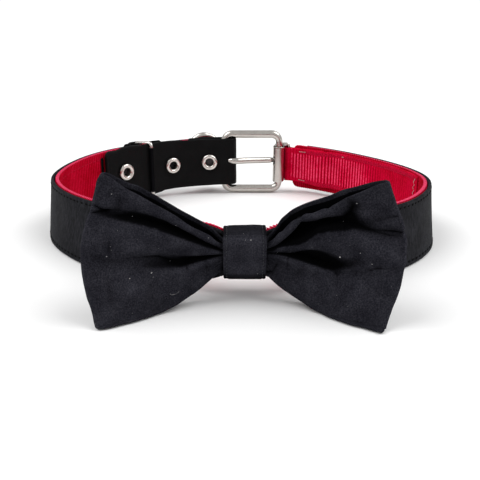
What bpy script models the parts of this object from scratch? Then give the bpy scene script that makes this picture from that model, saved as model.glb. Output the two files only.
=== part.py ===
"""Bow tie collar: a small dog collar buckled into a loop, standing on its edge, with a cloth bow.

Metres, +Z up. The bow faces -Y, the buckle is at the rear (+Y). The finished model is moved at
the end so that the middle of its bounding box's underside is the origin. Lengths in the tables
are millimetres; MM turns them into metres.
"""

import math

import bmesh
import bpy
import numpy as np
from mathutils import Matrix, Vector

MM = 0.001

# ---------------------------------------------------------------- driving dimensions (mm)
BAND_WIDTH = 25.0          # webbing width
OUTER_THICK = 1.5          # black outer band
LINING_THICK = 2.0         # red lining
GAP = 0.3                  # clearance between pieces
LINING_EXTRA = 8.0         # lining runs this far past the outer band at the tab end
STATION = 6.0              # spacing of the band's cross sections

STRAP_WIDTH = 26.0         # eyelet strap
STRAP_THICK = 1.8
STRAP_TIP_R = 3.0
# height of the strap's middle along it, from the tip (run, z)
STRAP_RISE = ((0.0, 17.9), (9.0, 17.4), (20.0, 16.7), (26.0, 16.3), (33.0, 16.7), (50.0, 17.1),
              (70.0, 18.2))
STRAP_STANDOFF = 1.2       # strap to lining, room for the eyelets' rear flanges
OUTER_LEG = 22.0           # length of the strap's sewn leg behind the fold

TAB_WIDTH = 19.3           # narrow webbing tab
TAB_THICK = 1.4
TAB_LENGTH = 94.5
TAB_LEG = 20.0             # sewn rear leg of the tab

EYELET_FLANGE_R = 4.5
EYELET_GAP = 0.5                    # flange to strap; the strap is slightly curved
EYELET_HOLE_R = 2.1
EYELET_BARREL_R = 2.45
STRAP_HOLE_R = 2.8
EYELET_PITCH = (12.1, 41.4, 62.8)   # from the strap's tip
EYELET_RISE = 0.6                   # above the strap's middle

FRAME_W, FRAME_H = 35.2, 35.7       # buckle, outside
FRAME_R = 2.2                       # wire radius
FRAME_CORNER = 6.6                  # outside corner radius
FRAME_X, FRAME_Y = 9.6, 61.8        # middle of the buckle
HEEL_SCALE = 0.9                    # heel bar is a little thinner
TOE_X = FRAME_X - FRAME_W / 2 + FRAME_R
HEEL_X = FRAME_X + FRAME_W / 2 - FRAME_R
FOLD_X = -3.4                       # centre of the strap's fold

TONGUE_R = 1.75
RING_R = 0.75                       # tab ring wire radius
RING_NEAR = (23.2, 64.6)            # its two upright bars, in plan
RING_FAR = (30.8, 63.9)
RING_Z = (5.6, 27.7)

KEEPER_R = 0.9
KEEPER_SLACK = 1.6                  # how far its outer bar stands off the band
D_WIRE_R = 1.5
D_HEIGHT = 26.6                     # centre line, along the straight bar
D_DEPTH = 17.5                      # centre line, bar to crown

CLOTH = 1.3                         # bow cloth, two plies sewn together
KNOT_X = (-4.0, 10.6)
# outside of the knot's wrap, seen from the side (y, z): a soft loop round the bow's middle and
# the band behind it
KNOT_SECTION = [
    (-89.9, 17.0), (-89.7, 22.5), (-88.9, 25.2), (-86.6, 26.3), (-82.0, 25.5), (-78.0, 24.4),
    (-76.4, 22.9), (-76.0, 15.0), (-76.4, 7.2), (-78.0, 5.7), (-82.0, 6.0), (-86.4, 7.6),
    (-88.8, 9.6), (-89.7, 12.4),
]
KNOT_WALL = 1.0

# Outer face of the black band in plan, from the buckle's toe end round the left side, the
# front and the right side to the tab end. zc: height of the middle of the webbing; half: half
# of its standing height (the knot pinches it); lean: how far the lower edge stands out and the
# upper edge in.
BAND_ROWS = [
    # name             x      y     zc    half  lean
    ("toe end",       -6.5,  70.2, 18.0, 12.5, 0.0),
    ("left rear",    -19.0,  68.3, 17.9, 12.5, 0.0),
    ("left rear 2",  -39.0,  58.4, 17.8, 12.4, 0.0),
    ("left rear 3",  -60.0,  42.4, 17.7, 12.4, 0.1),
    ("left rear 4",  -78.0,  20.0, 16.1, 12.5, 0.4),
    ("left side",    -85.4,  -3.0, 13.4, 12.5, 0.8),
    ("left fore",    -79.6, -25.0, 12.5, 12.5, 1.9),
    ("left cheek",   -64.4, -46.2, 12.5, 12.5, 2.7),
    ("left bow",     -43.0, -64.5, 13.3, 12.4, 1.8),
    ("left pinch",   -17.0, -78.2, 15.0, 10.4, 0.3),
    ("left of knot",  -8.0, -80.7, 14.9,  9.0, 0.1),
    ("knot",           3.3, -82.0, 15.0,  6.9, 0.0),
    ("right of knot", 14.6, -81.3, 14.9,  9.0, 0.1),
    ("right pinch",   23.6, -79.2, 15.0, 10.4, 0.3),
    ("right bow",     50.0, -67.4, 13.3, 12.4, 1.8),
    ("right cheek",   70.8, -50.4, 12.5, 12.5, 2.3),
    ("right fore",    84.6, -29.6, 12.5, 12.5, 1.9),
    ("right side",    89.0,  -7.0, 12.8, 12.5, 0.2),
    ("right rear 4",  83.3,  17.0, 13.1, 12.4, 0.0),
    ("right rear 3",  70.4,  39.2, 13.5, 12.2, 0.0),
    ("right rear 2",  53.0,  57.8, 14.0, 12.2, 0.0),
    ("tab end",       35.4,  69.4, 14.5, 12.3, 0.0),
]

# The bow's wings: each row is one fold line, a rib from the knot to the outer edge.
# kz, ky: height and depth where it leaves the knot; ox, oy, oz: its outer end; bz, by: how far
# the rib is raised and set back from a straight line (by < 0 is a forward crest); skew < 1 puts
# the top of that bend nearer the knot.
LEFT_FRONT = [
    # name            kz     ky     ox      oy      oz    bz    by   skew
    ("lower edge",   10.9, -87.2, -42.0, -107.6,   0.2, -4.2, -1.4, 1.0),
    ("lower crest",  13.0, -87.2, -44.4, -106.6,  10.0, -3.2, -3.8, 1.0),
    ("mid valley",   15.4, -87.2, -44.6, -105.0,  21.5, -3.6,  1.6, 0.9),
    ("mid crest",    16.9, -87.2, -44.5, -104.2,  29.5, -0.6, -4.2, 0.9),
    ("high valley",  18.2, -87.2, -42.6, -102.2,  37.0,  2.4,  1.2, 0.85),
    ("high crest",   19.2, -87.2, -40.4, -101.6,  42.8,  1.6, -2.4, 0.9),
    ("upper edge",   20.2, -87.2, -38.8, -101.2,  48.0,  0.6, -0.8, 0.9),
]
LEFT_BACK = [
    ("lower edge",   11.0, -84.2, -41.0, -104.0,   0.5, -3.4,  1.2, 1.0),
    ("middle",       16.0, -84.2, -44.0, -101.0,  24.0, -0.5,  2.4, 1.0),
    ("upper edge",   21.2, -84.2, -37.8,  -98.4,  47.2,  1.6,  0.4, 0.7),
]
RIGHT_FRONT = [
    ("lower edge",   10.6, -87.2,  44.8, -109.2,   0.2, -3.6, -1.8, 1.0),
    ("lower crest",  12.8, -87.2,  49.0, -108.0,   9.0, -2.6, -4.0, 1.0),
    ("low crease",   15.4, -87.2,  50.6, -106.6,  19.5, -2.6,  1.8, 1.1),
    ("mid crest",    17.2, -87.2,  50.8, -106.0,  25.0,  1.4, -3.4, 0.8),
    ("deep fold",    18.6, -87.2,  50.0, -105.2,  29.8,  6.4,  2.6, 0.55),
    ("high crest",   19.7, -87.2,  47.6, -104.6,  38.4,  4.0, -2.2, 0.65),
    ("upper edge",   20.8, -87.2,  45.0, -103.8,  44.8,  2.6, -0.6, 0.75),
]
RIGHT_BACK = [
    ("lower edge",   10.8, -84.2,  44.0, -105.6,   0.5, -2.8,  1.4, 1.0),
    ("middle",       16.0, -84.2,  49.6, -102.8,  24.0,  0.6,  2.6, 0.8),
    ("upper edge",   21.6, -84.2,  43.8, -100.8,  45.4,  5.4,  0.8, 0.5),
]

# name, base colour, roughness, metallic
FINISHES = {
    "black_webbing": ((0.020, 0.020, 0.023), 0.62, 0.0),
    "red_webbing": ((0.55, 0.004, 0.030), 0.70, 0.0),
    "black_strap": ((0.008, 0.008, 0.009), 0.45, 0.0),
    "black_cloth": ((0.014, 0.014, 0.019), 0.85, 0.0),
    "nickel": ((0.62, 0.58, 0.54), 0.28, 1.0),
}


# ---------------------------------------------------------------- scene helpers
def empty_scene():
    for ob in list(bpy.data.objects):
        bpy.data.objects.remove(ob)
    for group in (bpy.data.meshes, bpy.data.curves, bpy.data.materials, bpy.data.collections):
        for item in list(group):
            group.remove(item)


def collection(name):
    col = bpy.data.collections.new(name)
    bpy.context.scene.collection.children.link(col)
    return col


def finish_of(name, finish):
    colour, rough, metal = FINISHES[finish]
    mat = bpy.data.materials.new("mat_" + name)
    mat.use_nodes = True
    shader = mat.node_tree.nodes["Principled BSDF"]
    shader.inputs["Base Color"].default_value = (*colour, 1.0)
    shader.inputs["Roughness"].default_value = rough
    shader.inputs["Metallic"].default_value = metal
    mat.diffuse_color = (*colour, 1.0)
    return mat


def place(name, data, finish, col):
    ob = bpy.data.objects.new(name, data)
    col.objects.link(ob)
    data.materials.append(finish_of(name, finish))
    return ob


def mesh_object(name, bm, finish, col):
    me = bpy.data.meshes.new(name)
    bm.to_mesh(me)
    bm.free()
    me.shade_smooth()
    me.set_sharp_from_angle(angle=math.radians(35))
    return place(name, me, finish, col)


def solidify(ob, thickness):
    mod = ob.modifiers.new("thickness", "SOLIDIFY")
    mod.thickness = thickness * MM
    mod.offset = 0.0
    mod.use_even_offset = True
    mod.use_quality_normals = True


def grid_surface(nu, nv, point):
    """A grid of nu x nv faces whose corner (i, j) is put at point(i, j), in mm."""
    bm = bmesh.new()
    bmesh.ops.create_grid(bm, x_segments=nu, y_segments=nv, size=0.5)
    for v in bm.verts:
        i = round((v.co.x + 0.5) * nu)
        j = round((v.co.y + 0.5) * nv)
        v.co = Vector(point(i, j)) * MM
    return bm


def wire(name, points, radius, finish, col, closed=False, radii=None, sides=2):
    """A round wire along points (mm), closed or with filled caps."""
    cu = bpy.data.curves.new(name, "CURVE")
    cu.dimensions = "3D"
    cu.bevel_depth = radius * MM
    cu.bevel_resolution = sides
    cu.use_fill_caps = not closed
    sp = cu.splines.new("POLY")
    sp.points.add(len(points) - 1)
    for i, p in enumerate(points):
        sp.points[i].co = (*(Vector(p) * MM), 1.0)
        sp.points[i].radius = 1.0 if radii is None else radii[i]
    sp.use_cyclic_u = closed
    sp.use_smooth = True
    return place(name, cu, finish, col)


# ---------------------------------------------------------------- curves in plan
class Spline:
    """A natural cubic spline through rows of numbers, read by the arc length of its first two."""

    def __init__(self, rows):
        self.v = np.array(rows, float)
        step = np.hypot(*(np.diff(self.v[:, :2], axis=0).T))
        self.t = np.concatenate([[0.0], np.cumsum(step)])
        n, h = len(self.t), np.diff(self.t)
        a = np.zeros((n, n))
        b = np.zeros((n, self.v.shape[1]))
        a[0, 0] = a[-1, -1] = 1.0
        for i in range(1, n - 1):
            a[i, i - 1], a[i, i], a[i, i + 1] = h[i - 1], 2 * (h[i - 1] + h[i]), h[i]
            b[i] = 6 * ((self.v[i + 1] - self.v[i]) / h[i] - (self.v[i] - self.v[i - 1]) / h[i - 1])
        self.m = np.linalg.solve(a, b)
        fine = np.linspace(0, self.t[-1], 4001)
        xy = np.array([self.raw(t)[:2] for t in fine])
        self.s = np.concatenate([[0.0], np.cumsum(np.hypot(*np.diff(xy, axis=0).T))])
        self.fine = fine
        self.length = float(self.s[-1])

    def raw(self, t):
        t = min(max(t, 0.0), self.t[-1])
        i = min(int(np.searchsorted(self.t, t, side="right")) - 1, len(self.t) - 2)
        i = max(i, 0)
        h = self.t[i + 1] - self.t[i]
        a, b = (self.t[i + 1] - t) / h, (t - self.t[i]) / h
        return (
            a * self.v[i]
            + b * self.v[i + 1]
            + ((a**3 - a) * self.m[i] + (b**3 - b) * self.m[i + 1]) * h * h / 6
        )

    def at(self, s):
        """Values at arc length s, with the outward normal in plan appended."""
        t = float(np.interp(s, self.s, self.fine))
        p = self.raw(t)
        d = self.raw(t + 0.05) - self.raw(t - 0.05)
        tx, ty = d[0], d[1]
        n = math.hypot(tx, ty)
        return p, (ty / n, -tx / n)

    def nearest(self, x, y):
        xy = np.array([self.raw(t)[:2] for t in self.fine])
        return float(self.s[int(np.argmin(np.hypot(xy[:, 0] - x, xy[:, 1] - y)))])


BASE = Spline([row[1:] for row in BAND_ROWS])


def stations(s0, s1, step, round_end=(0.0, 0.0)):
    """Arc lengths from s0 to s1, closer together where an end's corners are rounded."""
    n = max(2, round(abs(s1 - s0) / step))
    out = set(np.round(np.linspace(s0, s1, n + 1), 6))
    for end, r, sign in ((s0, round_end[0], 1), (s1, round_end[1], -1)):
        if r > 0:
            out = {s for s in out if abs(s - end) > r * 1.2}
            out |= {round(end + sign * r * (1 - math.cos(math.radians(a))), 6) for a in (0, 30, 60, 90)}
    return sorted(out)


def rounded(half, s, s0, s1, r0, r1):
    """Half height of a strip whose end corners have radii r0 and r1."""
    for d, r in ((s - s0, r0), (s1 - s, r1)):
        if r > 0 and d < r:
            d = max(d, 0.0)
            half = half - r + math.sqrt(max(r * r - (r - d) ** 2, 0.0))
    return half


def strip(name, frames, thickness, finish, col, rows=2):
    """A webbing strip: frames are (x, y, nx, ny, zc, half, lean) along its middle surface."""

    def point(i, j):
        x, y, nx, ny, zc, half, lean = frames[i]
        v = 1.0 - 2.0 * j / rows
        return (x - nx * lean * v, y - ny * lean * v, zc + half * v)

    ob = mesh_object(name, grid_surface(len(frames) - 1, rows, point), finish, col)
    solidify(ob, thickness)
    return ob


def offset_frame(s, inward, half=None, zc=None):
    """Frame of a layer whose middle surface is `inward` mm inside the band's outer face."""
    p, n = BASE.at(s)
    return [
        p[0] - n[0] * inward,
        p[1] - n[1] * inward,
        n[0],
        n[1],
        p[2] if zc is None else zc,
        p[3] if half is None else half,
        p[4],
    ]


def plan_frames(points, zc, half):
    """Frames along a plan polyline with its own normals (left of travel is outward)."""
    out = []
    for i, (x, y) in enumerate(points):
        a, b = points[max(i - 1, 0)], points[min(i + 1, len(points) - 1)]
        tx, ty = b[0] - a[0], b[1] - a[1]
        n = math.hypot(tx, ty)
        out.append([x, y, ty / n, -tx / n, zc[i], half[i], 0.0])
    return out


# ---------------------------------------------------------------- the band
def build_band(col):
    outer_end = BASE.length - LINING_EXTRA
    inward = OUTER_THICK / 2
    frames = [offset_frame(s, inward) for s in stations(0.0, outer_end, STATION)]
    strip("band_outer", frames, OUTER_THICK, "black_webbing", col)

    inward = OUTER_THICK + GAP + LINING_THICK / 2
    frames = []
    for s in stations(0.0, BASE.length, STATION, (0.0, 3.0)):
        f = offset_frame(s, inward)
        f[5] = rounded(f[5], s, 0.0, BASE.length, 0.0, 3.0)
        frames.append(f)
    strip("band_lining", frames, LINING_THICK, "red_webbing", col)


LINING_FACE = OUTER_THICK + GAP + LINING_THICK      # inner face of the lining, from BASE


# ---------------------------------------------------------------- the eyelet strap
def strap_plan():
    """Plan polyline of the strap's middle surface: tip, inner leg, fold, sewn outer leg."""
    lie = LINING_FACE + STRAP_STANDOFF + STRAP_THICK / 2
    leg = LINING_FACE + GAP + STRAP_THICK / 2
    tip_s = BASE.nearest(-71.0, 30.6)
    rear_s = BASE.nearest(-37.0, 58.0)
    r = FRAME_R + GAP + STRAP_THICK / 2
    pts = []
    for s in np.linspace(tip_s, rear_s, 9):
        p, n = BASE.at(s)
        pts.append((p[0] - n[0] * lie, p[1] - n[1] * lie))
    pts += [(-14.5, FRAME_Y - r - 0.1), (-8.5, FRAME_Y - r), (FOLD_X, FRAME_Y - r)]
    inner = Spline([(x, y, 0, 0, 0) for x, y in pts])
    line = [tuple(inner.at(s)[0][:2]) for s in stations(0.0, inner.length, 3.2, (STRAP_TIP_R, 0.0))]
    turn = [
        (FOLD_X + r * math.sin(a), FRAME_Y - r * math.cos(a))
        for a in np.radians(np.arange(22.5, 180, 22.5))
    ]
    start = BASE.nearest(-6.5, 70.2)
    rear = [(FOLD_X, FRAME_Y + r)]
    for s in np.linspace(start + 1.5, start + OUTER_LEG, 7):
        p, n = BASE.at(s)
        rear.append((p[0] - n[0] * leg, p[1] - n[1] * leg))
    return inner, line, turn, rear


def strap_height(run):
    return float(np.interp(run, *zip(*STRAP_RISE)))


def build_strap(col, cutters):
    inner, line, turn, rear = strap_plan()
    half = STRAP_WIDTH / 2
    pts, halves, zc = [], [], []
    run = 0.0
    for i, p in enumerate(line):
        if i:
            run += math.dist(p, line[i - 1])
        pts.append(p)
        halves.append(rounded(half, run, 0.0, 1e9, STRAP_TIP_R, 0.0))
        zc.append(strap_height(run))
    for p in turn + rear:
        pts.append(p)
        halves.append(half)
        zc.append(18.2)
    ob = strip("tail_strap", plan_frames(pts, zc, halves), STRAP_THICK, "black_strap", col, rows=2)
    for k, along in enumerate(EYELET_PITCH):
        p, n = inner.at(along)
        height = strap_height(along) + EYELET_RISE
        # n points to the right of travel, which is the outer side from the tip to the fold
        out = Vector((-n[0], -n[1], 0.0))
        if out.y < 0:
            out = -out
        axis = -out
        rot = Vector((0, 0, 1)).rotation_difference(axis).to_matrix().to_4x4()
        at = Matrix.Translation(Vector((p[0], p[1], height)) * MM) @ rot
        bm = bmesh.new()
        bmesh.ops.create_cone(
            bm, cap_ends=True, segments=20, radius1=STRAP_HOLE_R * MM, radius2=STRAP_HOLE_R * MM,
            depth=3.4 * MM, matrix=at,
        )
        me = bpy.data.meshes.new(f"hole_cutter_{k + 1}")
        bm.to_mesh(me)
        bm.free()
        cutter = bpy.data.objects.new(me.name, me)
        cutter.hide_render = True
        cutter.display_type = "WIRE"
        cutters.objects.link(cutter)
        cut = ob.modifiers.new(f"hole_{k + 1}", "BOOLEAN")
        cut.operation = "DIFFERENCE"
        cut.object = cutter
        eyelet(f"eyelet_{k + 1}", at, col)


def eyelet(name, matrix, col):
    """A rolled nickel eyelet: a domed flange, a barrel through the strap and a rear flange."""
    face = STRAP_THICK / 2 + EYELET_GAP
    profile = [
        (EYELET_HOLE_R, face + 0.70), (EYELET_HOLE_R + 0.45, face + 0.98),
        (EYELET_HOLE_R + 1.2, face + 1.08), (EYELET_FLANGE_R - 0.5, face + 0.75),
        (EYELET_FLANGE_R, face + 0.25), (EYELET_FLANGE_R, face),
        (EYELET_BARREL_R, face), (EYELET_BARREL_R, -face), (3.7, -face), (3.7, -face - 0.4),
        (EYELET_HOLE_R, -face - 0.4),
    ]
    bm = bmesh.new()
    ring = [bm.verts.new((r * MM, 0.0, z * MM)) for r, z in profile]
    for a, b in zip(ring, ring[1:] + ring[:1]):
        bm.edges.new((a, b))
    ob = mesh_object(name, bm, "nickel", col)
    turn = ob.modifiers.new("turn", "SCREW")
    turn.steps = turn.render_steps = 20
    turn.use_merge_vertices = True
    turn.merge_threshold = 0.00001
    turn.use_smooth_shade = True
    ob.matrix_world = matrix
    return ob


# ---------------------------------------------------------------- the buckle
def rounded_rectangle(w, h, r, per_corner=5):
    """Points of a rounded rectangle about the origin, anticlockwise from the lower right."""
    out = []
    for cx, cy, a0 in ((1, -1, -90), (1, 1, 0), (-1, 1, 90), (-1, -1, 180)):
        for k in range(per_corner + 1):
            a = math.radians(a0 + 90 * k / per_corner)
            out.append((cx * (w / 2 - r) + r * math.cos(a), cy * (h / 2 - r) + r * math.sin(a)))
    return out


def flat_outline(name, loops, thickness, finish, col):
    """A plate or tube wall: closed loops (mm) filled between them, extruded along its own Z."""
    cu = bpy.data.curves.new(name, "CURVE")
    cu.dimensions = "2D"
    cu.fill_mode = "BOTH"
    cu.extrude = thickness / 2 * MM
    for loop in loops:
        sp = cu.splines.new("POLY")
        sp.points.add(len(loop) - 1)
        for i, (x, y) in enumerate(loop):
            sp.points[i].co = (x * MM, y * MM, 0.0, 1.0)
        sp.use_cyclic_u = True
    return place(name, cu, finish, col)


def to_mesh(ob):
    """Replace a curve object by its welded mesh, so that it can be cut."""
    bpy.context.view_layer.update()
    dep = bpy.context.evaluated_depsgraph_get()
    me = bpy.data.meshes.new_from_object(ob.evaluated_get(dep))
    bm = bmesh.new()
    bm.from_mesh(me)
    bmesh.ops.remove_doubles(bm, verts=bm.verts, dist=0.000001)
    bmesh.ops.recalc_face_normals(bm, faces=bm.faces)
    bm.to_mesh(me)
    bm.free()
    name, matrix, col = ob.name, ob.matrix_world.copy(), ob.users_collection[0]
    bpy.data.objects.remove(ob)
    new = bpy.data.objects.new(name, me)
    new.matrix_world = matrix
    col.objects.link(new)
    return new


def hull_outline(circles, steps=16):
    """Convex outline round two circles (x, y, r), anticlockwise."""
    pts = []
    for x, y, r in circles:
        for k in range(steps):
            a = 2 * math.pi * k / steps
            pts.append((x + r * math.cos(a), y + r * math.sin(a)))
    pts = sorted(set(pts))

    def half(points):
        out = []
        for p in points:
            while len(out) > 1:
                (ax, ay), (bx, by) = out[-2], out[-1]
                if (bx - ax) * (p[1] - ay) - (by - ay) * (p[0] - ax) > 1e-9:
                    break
                out.pop()
            out.append(p)
        return out[:-1]

    return half(pts) + half(pts[::-1])


def build_buckle(col, cutters):
    zc = FRAME_H / 2
    path = [
        (FRAME_X + x, FRAME_Y, zc + z)
        for x, z in rounded_rectangle(
            FRAME_W - 2 * FRAME_R, FRAME_H - 2 * FRAME_R, FRAME_CORNER - FRAME_R, 6
        )
    ]
    radii = [HEEL_SCALE if x > HEEL_X - 0.3 else 1.0 for x, _, _ in path]
    wire("buckle_frame", path, FRAME_R, "nickel", col, closed=True, radii=radii, sides=3)

    heel = (HEEL_X, FRAME_Y, FRAME_R * HEEL_SCALE)
    near = (*RING_NEAR, RING_R)
    inner = hull_outline([(x, y, r + GAP) for x, y, r in (heel, near)], 20)
    outer = hull_outline([(x, y, r + GAP + 0.45) for x, y, r in (heel, near)], 20)
    sleeve = flat_outline("buckle_sleeve", [outer, inner], 20.0, "nickel", col)
    sleeve.location = (0.0, 0.0, 16.6 * MM)
    sleeve = to_mesh(sleeve)

    bm = bmesh.new()
    bmesh.ops.create_cube(
        bm, size=MM,
        matrix=Matrix.Translation(Vector((20.9, 61.4, 18.9)) * MM)
        @ Matrix.Diagonal((4.4, 4.4, 4.6, 1.0)),
    )
    me = bpy.data.meshes.new("slot_cutter")
    bm.to_mesh(me)
    bm.free()
    cutter = bpy.data.objects.new("slot_cutter", me)
    cutter.hide_render = True
    cutter.display_type = "WIRE"
    cutters.objects.link(cutter)
    cut = sleeve.modifiers.new("slot", "BOOLEAN")
    cut.operation = "DIFFERENCE"
    cut.object = cutter

    # the tongue: root in the sleeve's slot, tip lying on the strap's fold
    face = FRAME_Y - (FRAME_R + GAP + STRAP_THICK) - GAP - TONGUE_R
    rows = [
        # x, y, z, radius share
        (HEEL_X - FRAME_R * HEEL_SCALE - GAP, FRAME_Y, 18.9, 0.60),
        (21.3, FRAME_Y - 0.1, 18.9, 0.70),
        (19.8, FRAME_Y - 0.4, 18.9, 1.00),
        (15.0, FRAME_Y - 1.6, 19.0, 1.00),
        (10.0, FRAME_Y - 3.1, 19.2, 1.00),
        (5.0, FRAME_Y - 4.8, 19.4, 1.00),
        (1.5, face - 0.05, 19.5, 1.00),
        (-1.0, face, 19.6, 0.98),
        (-2.4, face + 0.1, 19.7, 0.84),
        (-3.0, face + 0.3, 19.7, 0.55),
    ]
    wire("buckle_tongue", [r[:3] for r in rows], TONGUE_R, "nickel", col, radii=[r[3] for r in rows])

    # the ring that carries the webbing tab, linked to the heel bar by the sleeve
    mid = [(a + b) / 2 for a, b in zip(RING_NEAR, RING_FAR)]
    run = math.dist(RING_NEAR, RING_FAR)
    ux, uy = ((b - a) / run for a, b in zip(RING_NEAR, RING_FAR))
    zc = sum(RING_Z) / 2
    path = [
        (mid[0] + ux * a, mid[1] + uy * a, zc + z)
        for a, z in rounded_rectangle(run, RING_Z[1] - RING_Z[0], 1.3, 3)
    ]
    wire("tab_ring", path, RING_R, "nickel", col, closed=True)


# ---------------------------------------------------------------- the webbing tab
def build_tab(col):
    """Inner leg along the lining, fold round the ring's far bar, short sewn leg behind it."""
    r = RING_R + GAP + TAB_THICK / 2
    end = BASE.length
    lie = LINING_FACE + GAP + TAB_THICK / 2
    cx, cy = RING_FAR
    pts = []
    for s in np.linspace(end - TAB_LENGTH, end - TAB_LEG - 8.0, 12):
        p, n = BASE.at(s)
        pts.append((p[0] - n[0] * lie, p[1] - n[1] * lie))
    step = lie + TAB_THICK + GAP + 0.2
    for s in np.linspace(end - TAB_LEG - 1.0, end - 6.0, 3):
        p, n = BASE.at(s)
        pts.append((p[0] - n[0] * step, p[1] - n[1] * step))
    inner_leg = Spline([(x, y, 0, 0, 0) for x, y in pts + [(cx + 0.3, cy - r)]])
    line = [tuple(inner_leg.at(s)[0][:2]) for s in stations(0.0, inner_leg.length, 4.0)]
    a0 = 0.0
    turn = [
        (cx - r * math.sin(a), cy - r * math.cos(a)) for a in np.radians(np.arange(a0 + 30, 180, 30))
    ]
    rear = [(cx + 0.2, cy + r)]
    for s in np.linspace(end - 3.0, end - TAB_LEG, 5):
        p, n = BASE.at(s)
        rear.append((p[0] - n[0] * lie, p[1] - n[1] * lie))
    pts = line + turn + rear
    zc = [
        float(np.interp(x, [31.0, 45.0, 70.0, 90.0], [16.2, 15.2, 14.7, 14.2])) for x, _ in pts
    ]
    strip("buckle_tab", plan_frames(pts, zc, [TAB_WIDTH / 2] * len(pts)), TAB_THICK,
          "red_webbing", col, rows=2)


# ---------------------------------------------------------------- keeper and D-ring
def arch_tab(name, s_mid, length, height, zc, rise, finish, col):
    """A short strap on the band's outer face that arches over a wire by `rise` mm."""
    thick = 1.4
    frames = []
    for k in range(13):
        t = k / 12
        s = s_mid + (t - 0.5) * length
        hump = math.exp(-(((t - 0.5) * length / (0.9 + rise * 0.9)) ** 4) * 0.8)
        f = offset_frame(s, -(GAP + thick / 2) - rise * hump, height / 2, zc)
        f[6] = 0.0
        frames.append(f)
    fixed = plan_frames([(f[0], f[1]) for f in frames], [zc] * 13, [height / 2] * 13)
    strip(name, fixed, thick, finish, col)


def build_keeper(col):
    """A wire loop round the band and the strap, its outer bar held in a small leather tab."""
    s = BASE.nearest(-49.0, 49.5)
    p, n = BASE.at(s)
    out = GAP + KEEPER_R + KEEPER_SLACK
    inn = LINING_FACE + STRAP_STANDOFF + STRAP_THICK + GAP + KEEPER_R
    w = out + inn
    z0, z1 = 2.0, 31.5
    mid = (p[0] - n[0] * (inn - out) / 2, p[1] - n[1] * (inn - out) / 2)
    path = [
        (mid[0] + n[0] * a, mid[1] + n[1] * a, (z0 + z1) / 2 + z)
        for a, z in rounded_rectangle(w, z1 - z0, 1.8, 3)
    ]
    wire("keeper_wire", path, KEEPER_R, "nickel", col, closed=True)
    arch_tab("keeper_tab", s, 17.0, 23.0, 17.8, 2 * KEEPER_R + KEEPER_SLACK + GAP, "black_strap", col)


def build_d_ring(col):
    """A D-ring on the outer face, turning on its straight bar, and the webbing tab over the bar."""
    s = BASE.nearest(-9.6, 69.9) + 1.0
    p, n = BASE.at(s)
    t = (-n[1], n[0])                       # direction of travel, to the left
    if t[0] > 0:
        t = (-t[0], -t[1])
    off = GAP + D_WIRE_R
    at = (p[0] + n[0] * off, p[1] + n[1] * off, 18.0)
    h = D_HEIGHT / 2
    rows = [
        # along, up
        (0.0, -0.62), (0.0, -0.2), (0.0, 0.2), (0.0, 0.62), (0.035, 0.80), (0.13, 0.93),
        (0.30, 0.995), (0.44, 1.0), (0.58, 0.95), (0.72, 0.83), (0.85, 0.62), (0.95, 0.35),
        (1.0, 0.0), (0.95, -0.35), (0.85, -0.62), (0.72, -0.83), (0.58, -0.95), (0.44, -1.0),
        (0.30, -0.995), (0.13, -0.93), (0.035, -0.80),
    ]
    path = [
        (t[0] * a * D_DEPTH, t[1] * a * D_DEPTH, u * h) for a, u in rows
    ]
    ring = wire("d_ring", path, D_WIRE_R, "nickel", col, closed=True)
    pivot = bpy.data.objects.new("d_ring_axis", None)
    pivot.location = Vector(at) * MM
    col.objects.link(pivot)
    ring.parent = pivot
    arch_tab("d_ring_tab", s, 12.5, 16.0, 18.0, 2 * D_WIRE_R + 2 * GAP, "black_webbing", col)


# ---------------------------------------------------------------- the bow
def closed_curve(points, cuts):
    """A closed curve through points, with `cuts` points per span."""
    n, out = len(points), []
    p = [np.array(q, float) for q in points]
    for i in range(n):
        a, b, c, d = p[i - 1], p[i], p[(i + 1) % n], p[(i + 2) % n]
        for k in range(cuts):
            f = k / cuts
            q = 0.5 * (2 * b + (c - a) * f + (2 * a - 5 * b + 4 * c - d) * f * f
                       + (3 * b - a - 3 * c + d) * f**3)
            out.append((float(q[0]), float(q[1])))
    return out


def inset(points, depth):
    """A closed curve moved inwards by depth."""
    n, out = len(points), []
    area = sum(points[i - 1][0] * points[i][1] - points[i][0] * points[i - 1][1] for i in range(n))
    for i in range(n):
        (ax, ay), (bx, by) = points[i - 1], points[(i + 1) % n]
        tx, ty = bx - ax, by - ay
        k = depth / math.hypot(tx, ty) * (1 if area > 0 else -1)
        out.append((points[i][0] - ty * k, points[i][1] + tx * k))
    return out


def rib_point(row, u, knot_x, sign):
    """Point on a fold line, u = 0 at the knot to 1 at the outer edge; u < 0 is inside the knot."""
    _, kz, ky, ox, oy, oz, bz, by, skew = row
    if u < 0:
        return np.array([knot_x + sign * u * 36.0, ky, kz])
    w = math.sin(math.pi * u**skew)
    base = np.array([knot_x, ky, kz]) * (1 - u) + np.array([ox, oy, oz]) * u
    return base + np.array([0.0, by * w, bz * w])


def across(rows, v, u, knot_x, sign):
    """Smooth blend between neighbouring fold lines, v = 0 at the lower edge to 1 at the upper."""
    k = v * (len(rows) - 1)
    i = min(int(k), len(rows) - 2)
    f = k - i
    p = [rib_point(rows[min(max(i + d, 0), len(rows) - 1)], u, knot_x, sign) for d in (-1, 0, 1, 2)]
    if i == 0:
        p[0] = 2 * p[1] - p[2]
    if i == len(rows) - 2:
        p[3] = 2 * p[2] - p[1]
    return 0.5 * (
        2 * p[1] + (p[2] - p[0]) * f + (2 * p[0] - 5 * p[1] + 4 * p[2] - p[3]) * f * f
        + (3 * p[1] - p[0] - 3 * p[2] + p[3]) * f**3
    )


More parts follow.
